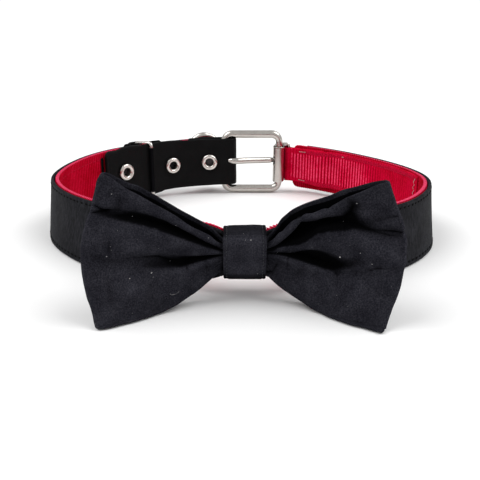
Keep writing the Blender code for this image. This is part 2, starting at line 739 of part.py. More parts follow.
def build_wing(name, front, back, knot_x, sign, col):
    """A loop of cloth: front layer out to the edge, a soft fold, and the back layer in again.
    It is open along its upper and lower edges."""
    us = [-0.17, 0.0, 0.06, 0.14, 0.24, 0.36, 0.48, 0.60, 0.72, 0.84, 0.95, 1.0]
    path = [("f", u) for u in us] + [("turn", 0.5)] + [("b", u) for u in us[::-1]]
    nv = 18

    def point(i, j):
        v = j / nv
        side, u = path[i]
        if side == "f":
            return across(front, v, u, knot_x, sign)
        if side == "b":
            return across(back, v, u, knot_x, sign)
        a, b = across(front, v, 1.0, knot_x, sign), across(back, v, 1.0, knot_x, sign)
        mid = (a + b) / 2
        reach = 0.45 * np.linalg.norm(a - b) * math.sin(math.pi * (0.2 + 0.6 * v))
        return mid + np.array([sign * reach, 0.0, 0.0])

    bm = grid_surface(len(path) - 1, nv, point)
    ob = mesh_object(name, bm, "black_cloth", col)
    ob.data.materials[0].diffuse_color = (0.02, 0.02, 0.03, 1)
    solidify(ob, CLOTH)
    return ob


def build_bow(col):
    build_wing("wing_left", LEFT_FRONT, LEFT_BACK, KNOT_X[0], -1, col)
    build_wing("wing_right", RIGHT_FRONT, RIGHT_BACK, KNOT_X[1], 1, col)
    outer = closed_curve(KNOT_SECTION, 2)
    inner = inset(outer, KNOT_WALL)
    knot = flat_outline("bow_knot", [outer, inner], KNOT_X[1] - KNOT_X[0], "black_cloth", col)
    # its own X is the object's Y, its own Y the object's Z, and it is extruded along X
    knot.matrix_world = Matrix.Translation(Vector((sum(KNOT_X) / 2, 0.0, 0.0)) * MM) @ Matrix(
        ((0, 0, 1, 0), (1, 0, 0, 0), (0, 1, 0, 0), (0, 0, 0, 1))
    )
    to_mesh(knot)


# ---------------------------------------------------------------- put it on its origin
def centre_on_origin(cols):
    """Move everything so that the middle of the box's underside is the origin."""
    bpy.context.view_layer.update()
    dep = bpy.context.evaluated_depsgraph_get()
    lo, hi = Vector((1e9,) * 3), Vector((-1e9,) * 3)
    for ob in cols[0].objects:
        if ob.type == "EMPTY":
            continue
        me = ob.evaluated_get(dep).to_mesh()
        for v in me.vertices:
            p = ob.matrix_world @ v.co
            lo, hi = Vector(map(min, lo, p)), Vector(map(max, hi, p))
        ob.evaluated_get(dep).to_mesh_clear()
    move = Vector((-(lo.x + hi.x) / 2, -(lo.y + hi.y) / 2, -lo.z))
    for col in cols:
        for ob in col.objects:
            if ob.parent is None:
                ob.matrix_world = Matrix.Translation(move) @ ob.matrix_world
    bpy.context.view_layer.update()
    return lo, hi, move


def main():
    empty_scene()
    col = collection("bow_tie_collar")
    cutters = collection("cutters")
    build_band(col)
    build_strap(col, cutters)
    build_buckle(col, cutters)
    build_tab(col)
    build_keeper(col)
    build_d_ring(col)
    build_bow(col)
    lo, hi, move = centre_on_origin([col, cutters])
    print("box mm", [round(v * 1000, 2) for v in lo], [round(v * 1000, 2) for v in hi])
    axis = next(ob for ob in col.objects if ob.name == "d_ring_axis").matrix_world.translation
    print("ring axis mm", [round(v * 1000, 3) for v in axis])
    print("moved mm", [round(v * 1000, 3) for v in move], "band length mm", round(BASE.length, 1))


main()
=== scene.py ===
"""Bow tie collar: the looks of every piece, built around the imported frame.

Lengths in the tables are millimetres in the collar's drafting frame; MOVE carries them into the
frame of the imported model, and MM turns them into metres.
"""
import math

import bmesh
import bpy
import numpy as np
from mathutils import Matrix, Vector

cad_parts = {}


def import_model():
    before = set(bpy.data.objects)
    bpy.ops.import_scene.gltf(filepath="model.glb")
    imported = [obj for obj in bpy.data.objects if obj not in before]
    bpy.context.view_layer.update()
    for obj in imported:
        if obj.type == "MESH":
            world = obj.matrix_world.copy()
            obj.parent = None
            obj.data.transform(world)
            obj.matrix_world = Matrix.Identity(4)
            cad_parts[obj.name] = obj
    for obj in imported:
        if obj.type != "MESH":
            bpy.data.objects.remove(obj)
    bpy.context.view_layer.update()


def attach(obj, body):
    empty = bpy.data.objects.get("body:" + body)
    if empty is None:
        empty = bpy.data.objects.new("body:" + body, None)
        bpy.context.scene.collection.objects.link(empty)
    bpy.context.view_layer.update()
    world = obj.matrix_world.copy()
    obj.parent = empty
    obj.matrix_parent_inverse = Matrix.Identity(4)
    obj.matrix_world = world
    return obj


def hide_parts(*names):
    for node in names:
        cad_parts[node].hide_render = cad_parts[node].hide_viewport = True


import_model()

MM = 0.001
MOVE = np.array([-1.598, 17.509, 0.240])
SCENE = bpy.context.scene
COLLAR, RING_BODY = "collar", "leash_ring"

# ---------------------------------------------------------------- sizes, as in the part (mm)
OUTER_THICK, LINING_THICK, GAP = 1.5, 2.0, 0.3
LINING_EXTRA = 8.0
STRAP_WIDTH, STRAP_THICK, STRAP_TIP_R, STRAP_STANDOFF = 26.0, 1.8, 3.0, 1.2
STRAP_RISE = ((0.0, 17.9), (9.0, 17.4), (20.0, 16.7), (26.0, 16.3), (33.0, 16.7), (50.0, 17.1),
              (70.0, 18.2))
OUTER_LEG = 22.0
TAB_WIDTH, TAB_THICK, TAB_LENGTH, TAB_LEG = 19.3, 1.4, 82.0, 20.0
EYELET_FLANGE_R, EYELET_GAP, EYELET_HOLE_R, EYELET_BARREL_R = 4.5, 0.5, 2.1, 2.45
STRAP_HOLE_R = 2.8
EYELET_PITCH, EYELET_RISE = (12.1, 41.4, 62.8), 0.6
FRAME_W, FRAME_H, FRAME_R, FRAME_CORNER = 35.2, 35.7, 2.2, 6.6
FRAME_X, FRAME_Y, HEEL_SCALE = 9.6, 61.8, 0.9
HEEL_X = FRAME_X + FRAME_W / 2 - FRAME_R
FOLD_X = -3.4
TONGUE_R, RING_R = 1.75, 0.75
RING_NEAR, RING_FAR, RING_Z = (23.2, 64.6), (30.8, 63.9), (5.6, 27.7)
KEEPER_R, KEEPER_SLACK = 0.9, 1.6
D_WIRE_R, D_HEIGHT, D_DEPTH = 1.5, 26.6, 17.5
KNOT_X = (-4.0, 10.6)
KNOT_SECTION = [
    (-89.9, 17.0), (-89.7, 21.8), (-89.1, 23.5), (-87.5, 24.4), (-82.0, 24.9), (-78.0, 24.0),
    (-76.4, 22.6), (-76.0, 15.0), (-76.4, 7.8), (-78.0, 6.3), (-82.0, 6.7), (-86.4, 8.2),
    (-88.8, 10.1), (-89.7, 12.7),
]
LINING_FACE = OUTER_THICK + GAP + LINING_THICK

# outer face of the band in plan: x, y, zc, half, lean
BAND_ROWS = [
    (-6.5, 70.2, 18.0, 12.5, 0.0), (-19.0, 68.3, 17.9, 12.5, 0.0), (-39.0, 58.4, 17.8, 12.4, 0.0),
    (-60.0, 42.4, 17.7, 12.4, 0.1), (-78.0, 20.0, 16.1, 12.5, 0.4), (-85.4, -3.0, 13.4, 12.5, 0.8),
    (-79.6, -25.0, 12.5, 12.5, 1.9), (-64.4, -46.2, 12.5, 12.5, 2.7), (-43.0, -64.5, 13.3, 12.4, 1.8),
    (-17.0, -78.2, 15.0, 10.4, 0.3), (-8.0, -80.7, 15.0, 9.7, 0.1), (3.3, -82.0, 15.0, 6.2, 0.0),
    (14.6, -81.3, 15.0, 9.7, 0.1), (23.6, -79.2, 15.0, 10.4, 0.3), (50.0, -67.4, 13.3, 12.4, 1.8),
    (70.8, -50.4, 12.5, 12.5, 2.3), (84.6, -29.6, 12.5, 12.5, 1.9), (89.0, -7.0, 12.8, 12.5, 0.2),
    (83.3, 17.0, 13.1, 12.4, 0.0), (70.4, 39.2, 13.5, 12.2, 0.0), (53.0, 57.8, 14.0, 12.2, 0.0),
    (35.4, 69.4, 14.5, 12.3, 0.0),
]

# ---------------------------------------------------------------- the bow's outlines and folds
# side: +1 right, -1 left. Outline rows are (x, z) of the cloth's edge seen from the front.
# pockets: rows of (x, low z, high z, depth, low softness, fill), a fold pressed into the cloth
# between two lines. creases and crests: rows of (x, z, size, width above, width below).
WINGS = {
    "left": {
        "sign": -1, "knot_x": -4.0, "reach": 40.0,
        "front_y": (-87.2, -107.6, -101.2, 48.0),
        "outer": [(-43.6, -1.0), (-44.1, 0.6), (-44.5, 2.0), (-45.0, 4.8), (-45.6, 7.5), (-46.3, 10.2),
                  (-46.7, 12.9), (-47.1, 15.5), (-47.4, 18.1), (-47.5, 20.6), (-47.5, 23.1),
                  (-47.4, 25.3), (-47.0, 27.7), (-46.4, 30.4), (-45.5, 33.3), (-44.6, 35.8),
                  (-43.8, 38.6), (-43.1, 41.0), (-42.4, 43.6), (-41.8, 46.0), (-40.9, 47.7)],
        "bottom": [(-4.0, 11.5), (-6.1, 10.3), (-7.8, 9.1), (-9.8, 7.7), (-11.8, 6.2), (-14.5, 4.6),
                   (-16.8, 3.4), (-19.0, 2.3), (-21.6, 1.3), (-24.8, 0.4), (-27.9, -0.3),
                   (-31.0, -0.8), (-34.0, -1.0), (-36.9, -1.0), (-39.9, -1.1), (-41.6, -1.1),
                   (-43.6, -1.0)],
        "top": [(-4.0, 20.9), (-5.7, 22.0), (-7.0, 23.1), (-8.3, 24.5), (-9.9, 25.7), (-13.0, 27.9),
                (-16.1, 30.3), (-19.2, 32.9), (-22.2, 35.1), (-25.1, 37.0), (-28.0, 39.1),
                (-30.9, 41.1), (-33.7, 42.8), (-36.5, 45.0), (-37.9, 46.2), (-39.0, 46.9),
                (-40.9, 47.7)],
        "back_top": [(-4.0, 21.6), (-5.7, 22.9), (-7.0, 24.3), (-8.4, 25.8), (-10.5, 27.2),
                     (-13.4, 29.1), (-18.2, 32.5), (-21.3, 34.9), (-23.7, 36.7), (-26.1, 38.6),
                     (-28.4, 40.1), (-30.7, 41.9), (-33.0, 42.8), (-35.8, 44.3), (-38.6, 46.1),
                     (-39.4, 46.4)],
        "pockets": [
            [(-3.0, 18.5, 19.2, 0.9, 0.25, 0.6), (-4.4, 18.8, 19.5, 1.4, 0.25, 0.6),
             (-6.7, 19.8, 21.0, 2.6, 0.3, 0.5), (-9.9, 21.7, 23.1, 4.2, 0.3, 0.4),
             (-13.1, 23.6, 25.5, 5.6, 0.35, 0.4), (-16.2, 25.4, 27.9, 6.6, 0.35, 0.4),
             (-19.3, 27.1, 29.9, 6.4, 0.35, 0.5), (-22.3, 28.7, 31.9, 5.0, 0.35, 0.7),
             (-25.3, 30.1, 33.6, 3.8, 0.4, 0.9), (-28.2, 31.2, 35.0, 2.9, 0.4, 1.1),
             (-31.2, 32.4, 36.3, 2.6, 0.6, 1.3), (-35.0, 33.5, 36.9, 2.0, 0.6, 1.3),
             (-39.0, 34.6, 36.9, 1.3, 0.6, 1.2), (-43.0, 35.9, 37.0, 0.2, 0.4, 1.0)],
            [(-3.0, 17.0, 17.7, 0.8, 0.2, 0.6), (-4.4, 17.1, 17.7, 1.3, 0.2, 0.6),
             (-6.7, 17.1, 17.9, 2.2, 0.2, 0.5), (-10.0, 16.8, 18.1, 3.3, 0.25, 0.5),
             (-12.9, 16.6, 18.4, 4.0, 0.25, 0.5), (-14.2, 16.3, 18.6, 3.6, 0.3, 0.7),
             (-16.1, 15.8, 19.0, 2.7, 0.35, 0.9), (-17.9, 15.5, 19.8, 1.9, 0.4, 1.2),
             (-20.6, 16.0, 20.4, 1.4, 0.5, 1.3), (-24.3, 16.4, 20.4, 0.9, 0.6, 1.3),
             (-27.0, 16.8, 20.4, 0.7, 0.6, 1.2), (-31.0, 17.2, 20.6, 0.3, 0.8, 1.2),
             (-34.0, 17.6, 20.8, 0.0, 0.8, 1.2)],
        ],
        "creases": [
            [(-13.2, 17.3, 0.3, 0.8, 0.5), (-16.1, 17.3, 1.1, 1.0, 0.6), (-18.0, 17.3, 1.2, 1.0, 0.6),
             (-19.9, 17.5, 1.2, 1.0, 0.6), (-21.8, 18.1, 1.2, 0.9, 0.6), (-23.3, 19.0, 1.2, 0.9, 0.6),
             (-24.8, 19.9, 1.3, 0.9, 0.6), (-27.8, 20.3, 1.2, 0.9, 0.7), (-30.2, 20.5, 0.9, 0.9, 0.7),
             (-32.5, 20.7, 0.6, 1.0, 0.8), (-35.5, 20.8, 0.1, 1.2, 1.0)],
            [(-35.0, 36.6, 0.2, 0.9, 0.9), (-38.2, 36.8, 1.0, 0.8, 0.8), (-39.9, 36.5, 1.9, 0.7, 0.6),
             (-40.8, 37.0, 1.9, 0.6, 0.6), (-41.9, 37.7, 1.9, 0.6, 0.5), (-42.8, 38.4, 1.5, 0.5, 0.5),
             (-44.4, 39.4, 0.8, 0.5, 0.5)],
            [(-39.6, 36.4, 1.6, 0.6, 0.6), (-41.1, 36.2, 1.9, 0.6, 0.6), (-42.5, 36.2, 1.9, 0.6, 0.5),
             (-46.2, 36.0, 1.5, 0.5, 0.5)],
            [(-35.5, 41.4, 0.1, 1.4, 1.4), (-35.6, 39.1, 0.7, 1.4, 1.4), (-35.9, 37.6, 0.9, 1.4, 1.2)],
            [(-39.0, 28.4, 0.2, 0.9, 0.7), (-39.2, 25.8, 0.8, 0.8, 0.6), (-39.3, 23.6, 0.9, 0.8, 0.6),
             (-39.5, 21.4, 0.2, 0.9, 0.7)],
            [(-45.2, 24.6, 0.2, 1.6, 1.2), (-43.4, 22.3, 0.9, 1.8, 1.4), (-41.2, 20.7, 1.0, 1.8, 1.4),
             (-38.0, 20.2, 0.8, 1.8, 1.6), (-33.0, 19.4, 0.5, 2.0, 2.0)],
            [(-41.2, 19.6, 0.2, 1.2, 1.2), (-40.1, 14.1, 0.7, 1.1, 1.1), (-39.5, 8.1, 0.8, 1.1, 1.1),
             (-38.2, 3.6, 0.2, 1.3, 1.2)],
            [(-15.7, 16.0, 0.3, 0.8, 0.8), (-16.0, 14.4, 1.0, 0.7, 0.7), (-15.9, 12.6, 0.2, 0.9, 0.9)],
            [(-10.0, 15.4, 0.3, 0.7, 0.7), (-9.6, 13.5, 1.0, 0.6, 0.6), (-8.7, 11.2, 0.2, 0.8, 0.8)],
            [(-7.0, 14.6, 0.1, 0.6, 0.6), (-6.4, 13.0, 0.5, 0.6, 0.6), (-6.2, 11.6, 0.1, 0.7, 0.7)],
            [(-26.4, 14.0, 0.1, 1.4, 1.4), (-27.4, 10.0, 0.7, 1.6, 1.6), (-27.6, 5.6, 0.5, 1.8, 1.8),
             (-27.0, 2.0, 0.1, 1.8, 1.8)],
            [(-4.0, 15.0, 0.4, 0.4, 0.4), (-4.3, 12.0, 0.9, 0.4, 0.4)],
        ],
        "crests": [
            [(-4.4, 20.4, 0.2, 0.5, 0.4), (-9.9, 24.6, 0.9, 0.8, 0.7), (-15.1, 28.6, 1.2, 1.0, 0.9),
             (-20.2, 32.0, 1.0, 1.4, 1.2), (-26.0, 36.2, 0.6, 1.8, 1.8), (-32.0, 40.0, 0.2, 2.0, 2.0)],
            [(-4.4, 18.2, 0.2, 0.4, 0.4), (-8.0, 19.2, 0.9, 0.8, 0.8), (-13.0, 21.6, 1.7, 1.5, 1.8),
             (-20.0, 25.2, 2.4, 2.0, 3.0), (-27.0, 28.2, 2.2, 2.6, 4.0), (-34.0, 30.4, 1.2, 3.0, 4.4),
             (-41.0, 31.6, 0.4, 3.0, 4.4)],
            [(-4.4, 16.6, 0.2, 0.4, 0.6), (-8.0, 16.0, 0.9, 0.6, 1.4), (-12.5, 15.0, 1.3, 0.9, 2.2),
             (-17.0, 13.8, 1.3, 1.0, 2.8), (-22.0, 14.4, 0.8, 1.2, 3.0), (-28.0, 15.2, 0.3, 1.6, 3.0)],
            [(-12.0, 8.5, 0.3, 3.0, 3.0), (-20.0, 8.0, 1.2, 4.4, 4.4), (-32.0, 9.6, 1.5, 6.0, 6.0),
             (-40.0, 11.0, 0.6, 6.0, 6.0)],
            [(-34.4, 25.4, 0.6, 2.4, 2.4), (-31.0, 24.4, 0.9, 2.6, 2.6), (-28.0, 23.4, 0.4, 2.4, 2.4)],
        ],
        "specks": [
            # x, z, size
            (-37.6, 41.5, 0.30), (-32.0, 33.7, 0.24), (-18.9, 29.8, 0.28), (-38.7, 25.3, 0.24),
            (-39.9, 22.0, 0.40), (-26.9, 15.1, 0.52), (-33.1, 14.6, 0.30), (-7.5, 17.5, 0.2),
            (-35.2, 22.8, 0.16), (-26.2, 13.6, 0.20), (-21.3, 17.4, 0.18), (-38.4, 24.2, 0.16),
            (-8.6, 24.2, 0.24), (-32.8, 3.0, 0.15), (-36.0, 30.6, 0.12), (-24.6, 22.8, 0.12),
            (-30.6, 27.0, 0.12), (-22.6, 6.0, 0.12),
        ],
        "fibres": [
            [(-21.3, 7.0), (-20.8, 6.5), (-20.0, 6.4), (-18.9, 6.7), (-18.6, 7.1)],
        ],
    },
    "right": {
        "sign": 1, "knot_x": 10.6, "reach": 39.0,
        "front_y": (-87.2, -109.0, -103.8, 44.8),
        "outer": [(46.7, -2.3), (47.1, -1.0), (47.9, 2.2), (48.7, 5.0), (49.5, 7.8), (50.3, 10.6),
                  (50.9, 13.3), (51.4, 16.0), (51.7, 18.6), (52.0, 20.5), (52.2, 23.0), (52.2, 25.8),
                  (52.2, 28.3), (51.8, 30.3), (51.2, 32.7), (50.5, 35.1), (49.7, 37.0), (48.9, 38.8),
                  (48.3, 40.6), (47.6, 42.7), (47.1, 44.4), (46.7, 45.7)],
        "bottom": [(10.6, 9.6), (12.1, 8.6), (13.6, 7.5), (15.3, 6.3), (16.9, 5.3), (18.6, 4.4),
                   (20.2, 3.6), (21.8, 2.8), (25.0, 1.3), (28.2, 0.2), (31.3, -0.9), (34.3, -1.4),
                   (37.3, -1.9), (40.3, -1.9), (43.1, -2.1), (46.7, -2.3)],
        "top": [(10.6, 21.2), (12.0, 22.3), (13.0, 23.3), (13.9, 24.5), (14.8, 25.6), (15.8, 26.4),
                (17.3, 28.5), (18.8, 30.3), (20.6, 32.0), (21.5, 32.7), (22.7, 33.3), (23.9, 33.6),
                (25.1, 34.0), (27.5, 35.3), (28.6, 35.7), (29.5, 35.9), (30.4, 36.7), (32.6, 38.3),
                (35.4, 40.1), (38.2, 41.7), (40.9, 43.3), (43.6, 44.7), (44.9, 45.2), (46.7, 45.7)],
        "back_top": [(10.6, 21.8), (12.0, 23.0), (13.0, 24.1), (13.9, 25.4), (14.7, 26.8), (15.8, 28.6),
                     (16.8, 29.6), (19.0, 31.8), (21.5, 33.6), (24.6, 35.4), (27.6, 36.9),
                     (30.5, 38.4), (33.4, 40.3), (35.1, 41.2), (37.6, 42.2), (40.3, 43.4),
                     (43.0, 44.6), (45.6, 45.6)],
        "pockets": [
            [(9.6, 18.6, 19.2, 0.8, 0.25, 0.6), (10.9, 18.9, 19.5, 1.3, 0.25, 0.6),
             (12.4, 19.6, 20.3, 2.2, 0.25, 0.5), (14.9, 21.2, 22.4, 4.0, 0.25, 0.4),
             (16.5, 22.2, 24.4, 5.6, 0.25, 0.35), (18.0, 23.0, 26.4, 7.2, 0.25, 0.3),
             (19.5, 23.8, 28.5, 8.4, 0.25, 0.3), (20.4, 24.2, 30.0, 9.0, 0.25, 0.3),
             (20.9, 24.5, 30.9, 9.0, 0.25, 0.3), (22.7, 25.5, 31.0, 9.0, 0.3, 0.3),
             (24.5, 27.0, 31.4, 8.6, 0.4, 0.3), (26.5, 29.1, 32.2, 7.6, 0.6, 0.35),
             (28.9, 30.1, 33.1, 6.4, 0.7, 0.45), (31.4, 30.5, 33.8, 5.2, 0.8, 0.6),
             (34.2, 30.8, 34.4, 3.6, 0.8, 0.8), (36.5, 30.9, 35.2, 2.2, 0.8, 1.0),
             (39.0, 30.6, 35.4, 1.0, 0.8, 1.1), (42.0, 30.2, 35.0, 0.3, 0.8, 1.1),
             (45.0, 30.0, 34.6, 0.0, 0.8, 1.1)],
            [(9.6, 17.6, 18.2, 0.8, 0.2, 0.6), (10.9, 17.8, 18.3, 1.2, 0.2, 0.6),
             (13.7, 18.3, 18.8, 1.8, 0.2, 0.6), (16.6, 18.4, 19.1, 2.6, 0.2, 0.6),
             (18.2, 18.3, 19.4, 3.4, 0.2, 0.6), (19.8, 18.2, 20.0, 4.2, 0.2, 0.7),
             (21.4, 18.0, 20.8, 4.8, 0.2, 0.8), (22.9, 17.7, 21.6, 5.0, 0.2, 0.9),
             (24.5, 17.4, 22.0, 5.0, 0.2, 1.0), (26.0, 17.1, 22.2, 4.8, 0.25, 1.1),
             (27.6, 16.8, 22.2, 4.3, 0.25, 1.1), (29.1, 16.4, 22.0, 3.6, 0.3, 1.2),
             (31.2, 16.3, 21.6, 2.7, 0.4, 1.2), (33.8, 17.1, 21.2, 1.7, 0.5, 1.2),
             (36.4, 17.8, 21.4, 1.2, 0.6, 1.2), (39.0, 18.9, 22.6, 0.6, 0.6, 1.2),
             (42.0, 20.0, 24.4, 0.1, 0.6, 1.2)],
        ],
        "creases": [
            [(33.6, 32.4, 0.6, 1.0, 1.0), (35.8, 31.6, 1.4, 1.2, 0.9), (38.7, 30.7, 1.7, 1.1, 0.8),
             (41.6, 30.0, 1.8, 1.1, 0.7), (44.4, 29.6, 1.7, 1.0, 0.7), (47.1, 29.4, 1.5, 0.8, 0.7),
             (50.2, 29.6, 1.0, 0.7, 0.7)],
            [(42.1, 30.6, 0.3, 0.8, 0.6), (45.7, 30.9, 1.3, 0.8, 0.6), (48.4, 31.0, 2.0, 0.8, 0.6),
             (50.2, 30.9, 2.2, 0.6, 0.5), (53.0, 30.8, 2.0, 0.5, 0.5)],
            [(41.0, 17.8, 0.3, 0.7, 0.5), (42.7, 17.8, 1.2, 0.6, 0.5), (43.4, 18.3, 0.7, 0.5, 0.5),
             (44.1, 18.8, 1.2, 0.6, 0.5), (44.9, 19.0, 1.3, 0.6, 0.5), (46.4, 19.2, 0.6, 0.6, 0.6),
             (50.3, 19.6, 0.3, 0.8, 0.7)],
            [(30.0, 15.6, 0.3, 1.2, 1.2), (32.7, 15.2, 0.9, 1.2, 1.2), (35.9, 16.0, 0.6, 1.0, 1.0),
             (38.2, 16.2, 0.9, 1.0, 1.0), (41.0, 16.2, 0.5, 1.0, 1.0), (44.0, 16.6, 0.1, 1.2, 1.2)],
            [(37.0, 40.2, 0.1, 1.2, 1.2), (36.4, 38.8, 0.9, 1.7, 1.7), (37.0, 37.0, 2.1, 2.0, 1.8),
             (36.4, 35.4, 2.4, 1.8, 1.6), (35.0, 34.6, 1.8, 1.4, 1.2)],
            [(45.8, 34.6, 0.1, 0.8, 0.8), (47.3, 35.1, 0.7, 0.7, 0.7), (48.7, 35.5, 1.0, 0.6, 0.6),
             (52.0, 36.2, 0.9, 0.6, 0.6)],
            [(41.0, 32.6, 0.2, 1.4, 1.4), (44.1, 34.1, 0.8, 1.3, 1.3), (46.6, 34.5, 0.4, 1.2, 1.2)],
            [(10.0, 10.8, 1.6, 0.5, 0.4), (11.9, 11.1, 1.4, 0.5, 0.4), (13.3, 11.6, 0.3, 0.6, 0.5)],
            [(15.0, 15.4, 0.2, 0.8, 0.8), (14.1, 13.6, 1.2, 0.8, 0.8), (12.7, 11.5, 0.3, 0.8, 0.8)],
            [(17.7, 17.6, 0.5, 0.5, 0.5), (17.7, 15.7, 1.0, 0.5, 0.5), (17.7, 14.0, 0.2, 0.7, 0.7)],
            [(22.9, 15.2, 0.2, 0.8, 0.8), (21.8, 13.1, 0.9, 0.8, 0.8), (20.3, 10.4, 0.2, 1.1, 1.1)],
            [(27.2, 15.6, 0.3, 0.9, 0.9), (26.6, 13.7, 0.9, 0.9, 0.9), (25.8, 10.8, 0.1, 1.2, 1.2)],
            [(32.9, 14.6, 0.4, 1.2, 1.2), (32.6, 12.4, 0.7, 1.3, 1.3), (32.0, 9.6, 0.1, 1.6, 1.6)],
            [(17.4, 22.4, 0.2, 0.6, 0.6), (17.6, 20.6, 0.6, 0.5, 0.5), (17.4, 19.4, 0.3, 0.5, 0.5)],
            [(40.0, 12.0, 0.1, 2.0, 2.0), (44.0, 10.4, 0.6, 2.2, 2.2), (48.0, 10.0, 0.3, 2.0, 2.0)],
        ],
        "crests": [
            [(11.1, 20.4, 0.2, 0.4, 0.4), (15.3, 24.2, 0.9, 0.7, 0.8), (18.4, 28.0, 1.2, 0.8, 1.0),
             (20.9, 31.8, 1.6, 0.5, 0.8), (24.0, 32.6, 1.2, 0.7, 0.9), (28.0, 34.4, 0.7, 1.0, 1.2),
             (33.0, 37.2, 0.3, 1.4, 1.8)],
            [(11.1, 18.6, 0.1, 0.3, 0.3), (14.5, 19.8, 0.6, 0.7, 0.6), (18.0, 22.2, 1.4, 0.9, 1.6),
             (22.5, 24.8, 2.2, 1.2, 2.6), (28.0, 28.2, 3.0, 1.8, 4.0), (34.0, 28.8, 2.8, 2.2, 4.4),
             (40.0, 27.2, 1.6, 2.4, 4.0), (46.0, 25.4, 0.6, 2.8, 4.0)],
            [(11.1, 17.2, 0.3, 0.4, 1.0), (15.5, 17.4, 0.9, 0.7, 1.6), (20.0, 17.0, 1.4, 0.8, 2.2),
             (25.0, 15.8, 1.5, 0.9, 3.0), (30.0, 14.6, 1.0, 1.2, 3.4), (36.0, 14.4, 0.5, 1.8, 3.6)],
            [(18.0, 9.2, 0.4, 3.0, 3.0), (28.0, 8.0, 1.3, 4.6, 4.6), (38.0, 9.0, 1.7, 6.0, 6.0),
             (46.0, 10.6, 0.7, 6.0, 6.0)],
            [(40.0, 24.6, 0.4, 2.2, 2.2), (44.0, 23.4, 0.8, 2.6, 2.6), (48.0, 22.6, 0.4, 2.4, 2.4)],
        ],
        "specks": [
            (37.4, 38.1, 0.42), (33.5, 20.5, 0.56), (38.9, 23.1, 0.26), (42.5, 20.1, 0.28),
            (34.2, 31.7, 0.16), (21.4, 30.6, 0.22), (32.5, 8.5, 0.20), (35.5, 25.2, 0.14),
            (14.2, 18.6, 0.16), (24.8, 22.6, 0.14), (30.2, 9.0, 0.12), (27.4, 3.6, 0.12),
            (41.0, 12.4, 0.12), (36.0, 5.4, 0.12), (48.0, 14.0, 0.12), (30.0, 26.0, 0.12),
        ],
        "fibres": [],
    },
}
CLOTH = 0.9                 # the bow's cloth, two plies sewn together


# ---------------------------------------------------------------- numbers
def world(points):
    return (np.asarray(points, float) + MOVE) * MM


def lattice(ix, iy, iz, seed):
    h = (ix * 73856093) ^ (iy * 19349663) ^ (iz * 83492791) ^ (seed * 2654435761)
    h = (h ^ (h >> 13)) * 1274126177 & 0xFFFFFFFF
    h = (h ^ (h >> 16)) * 2246822519 & 0xFFFFFFFF
    return ((h >> 8) & 0xFFFF) / 32767.5 - 1.0


def noise(p, size, seed=0):
    """Smooth noise from -1 to 1 with features about `size` mm across."""
    q = np.asarray(p, float) / np.asarray(size, float) + 1000.0
    base = np.floor(q).astype(np.int64)
    f = q - base
    f = f * f * (3 - 2 * f)
    out = 0.0
    for dx in (0, 1):
        for dy in (0, 1):
            for dz in (0, 1):
                w = ((f[..., 0] if dx else 1 - f[..., 0]) * (f[..., 1] if dy else 1 - f[..., 1])
                     * (f[..., 2] if dz else 1 - f[..., 2]))
                out = out + w * lattice(base[..., 0] + dx, base[..., 1] + dy, base[..., 2] + dz, seed)
    return out


def unit(v):
    return v / np.maximum(np.linalg.norm(v, axis=-1, keepdims=True), 1e-9)


def smooth_curve(points, n, closed=False):
    """Centripetal curve through points, n points evenly spaced along it."""
    p = [np.array(q, float) for q in points]
    m = len(p)
    fine = []
    spans = m if closed else m - 1
    for i in range(spans):
        b, c = p[i], p[(i + 1) % m]
        a = p[i - 1] if closed or i > 0 else 2 * b - c
        d = p[(i + 2) % m] if closed or i + 2 < m else 2 * c - b
        t1 = max(np.linalg.norm(b - a) ** 0.5, 1e-6)
        t2 = t1 + max(np.linalg.norm(c - b) ** 0.5, 1e-6)
        t3 = t2 + max(np.linalg.norm(d - c) ** 0.5, 1e-6)
        for k in range(24):
            t = t1 + (t2 - t1) * k / 24
            a1 = a * (t1 - t) / t1 + b * t / t1
            a2 = b * (t2 - t) / (t2 - t1) + c * (t - t1) / (t2 - t1)
            a3 = c * (t3 - t) / (t3 - t2) + d * (t - t2) / (t3 - t2)
            b1 = a1 * (t2 - t) / t2 + a2 * t / t2
            b2 = a2 * (t3 - t) / (t3 - t1) + a3 * (t - t1) / (t3 - t1)
            fine.append(b1 * (t2 - t) / (t2 - t1) + b2 * (t - t1) / (t2 - t1))
    fine.append(p[0] if closed else p[-1])
    fine = np.array(fine)
    run = np.concatenate([[0], np.cumsum(np.linalg.norm(np.diff(fine, axis=0), axis=1))])
    at = np.linspace(0, run[-1], n + 1)[:-1] if closed else np.linspace(0, run[-1], n)
    return np.stack([np.interp(at, run, fine[:, k]) for k in range(fine.shape[1])], axis=1)


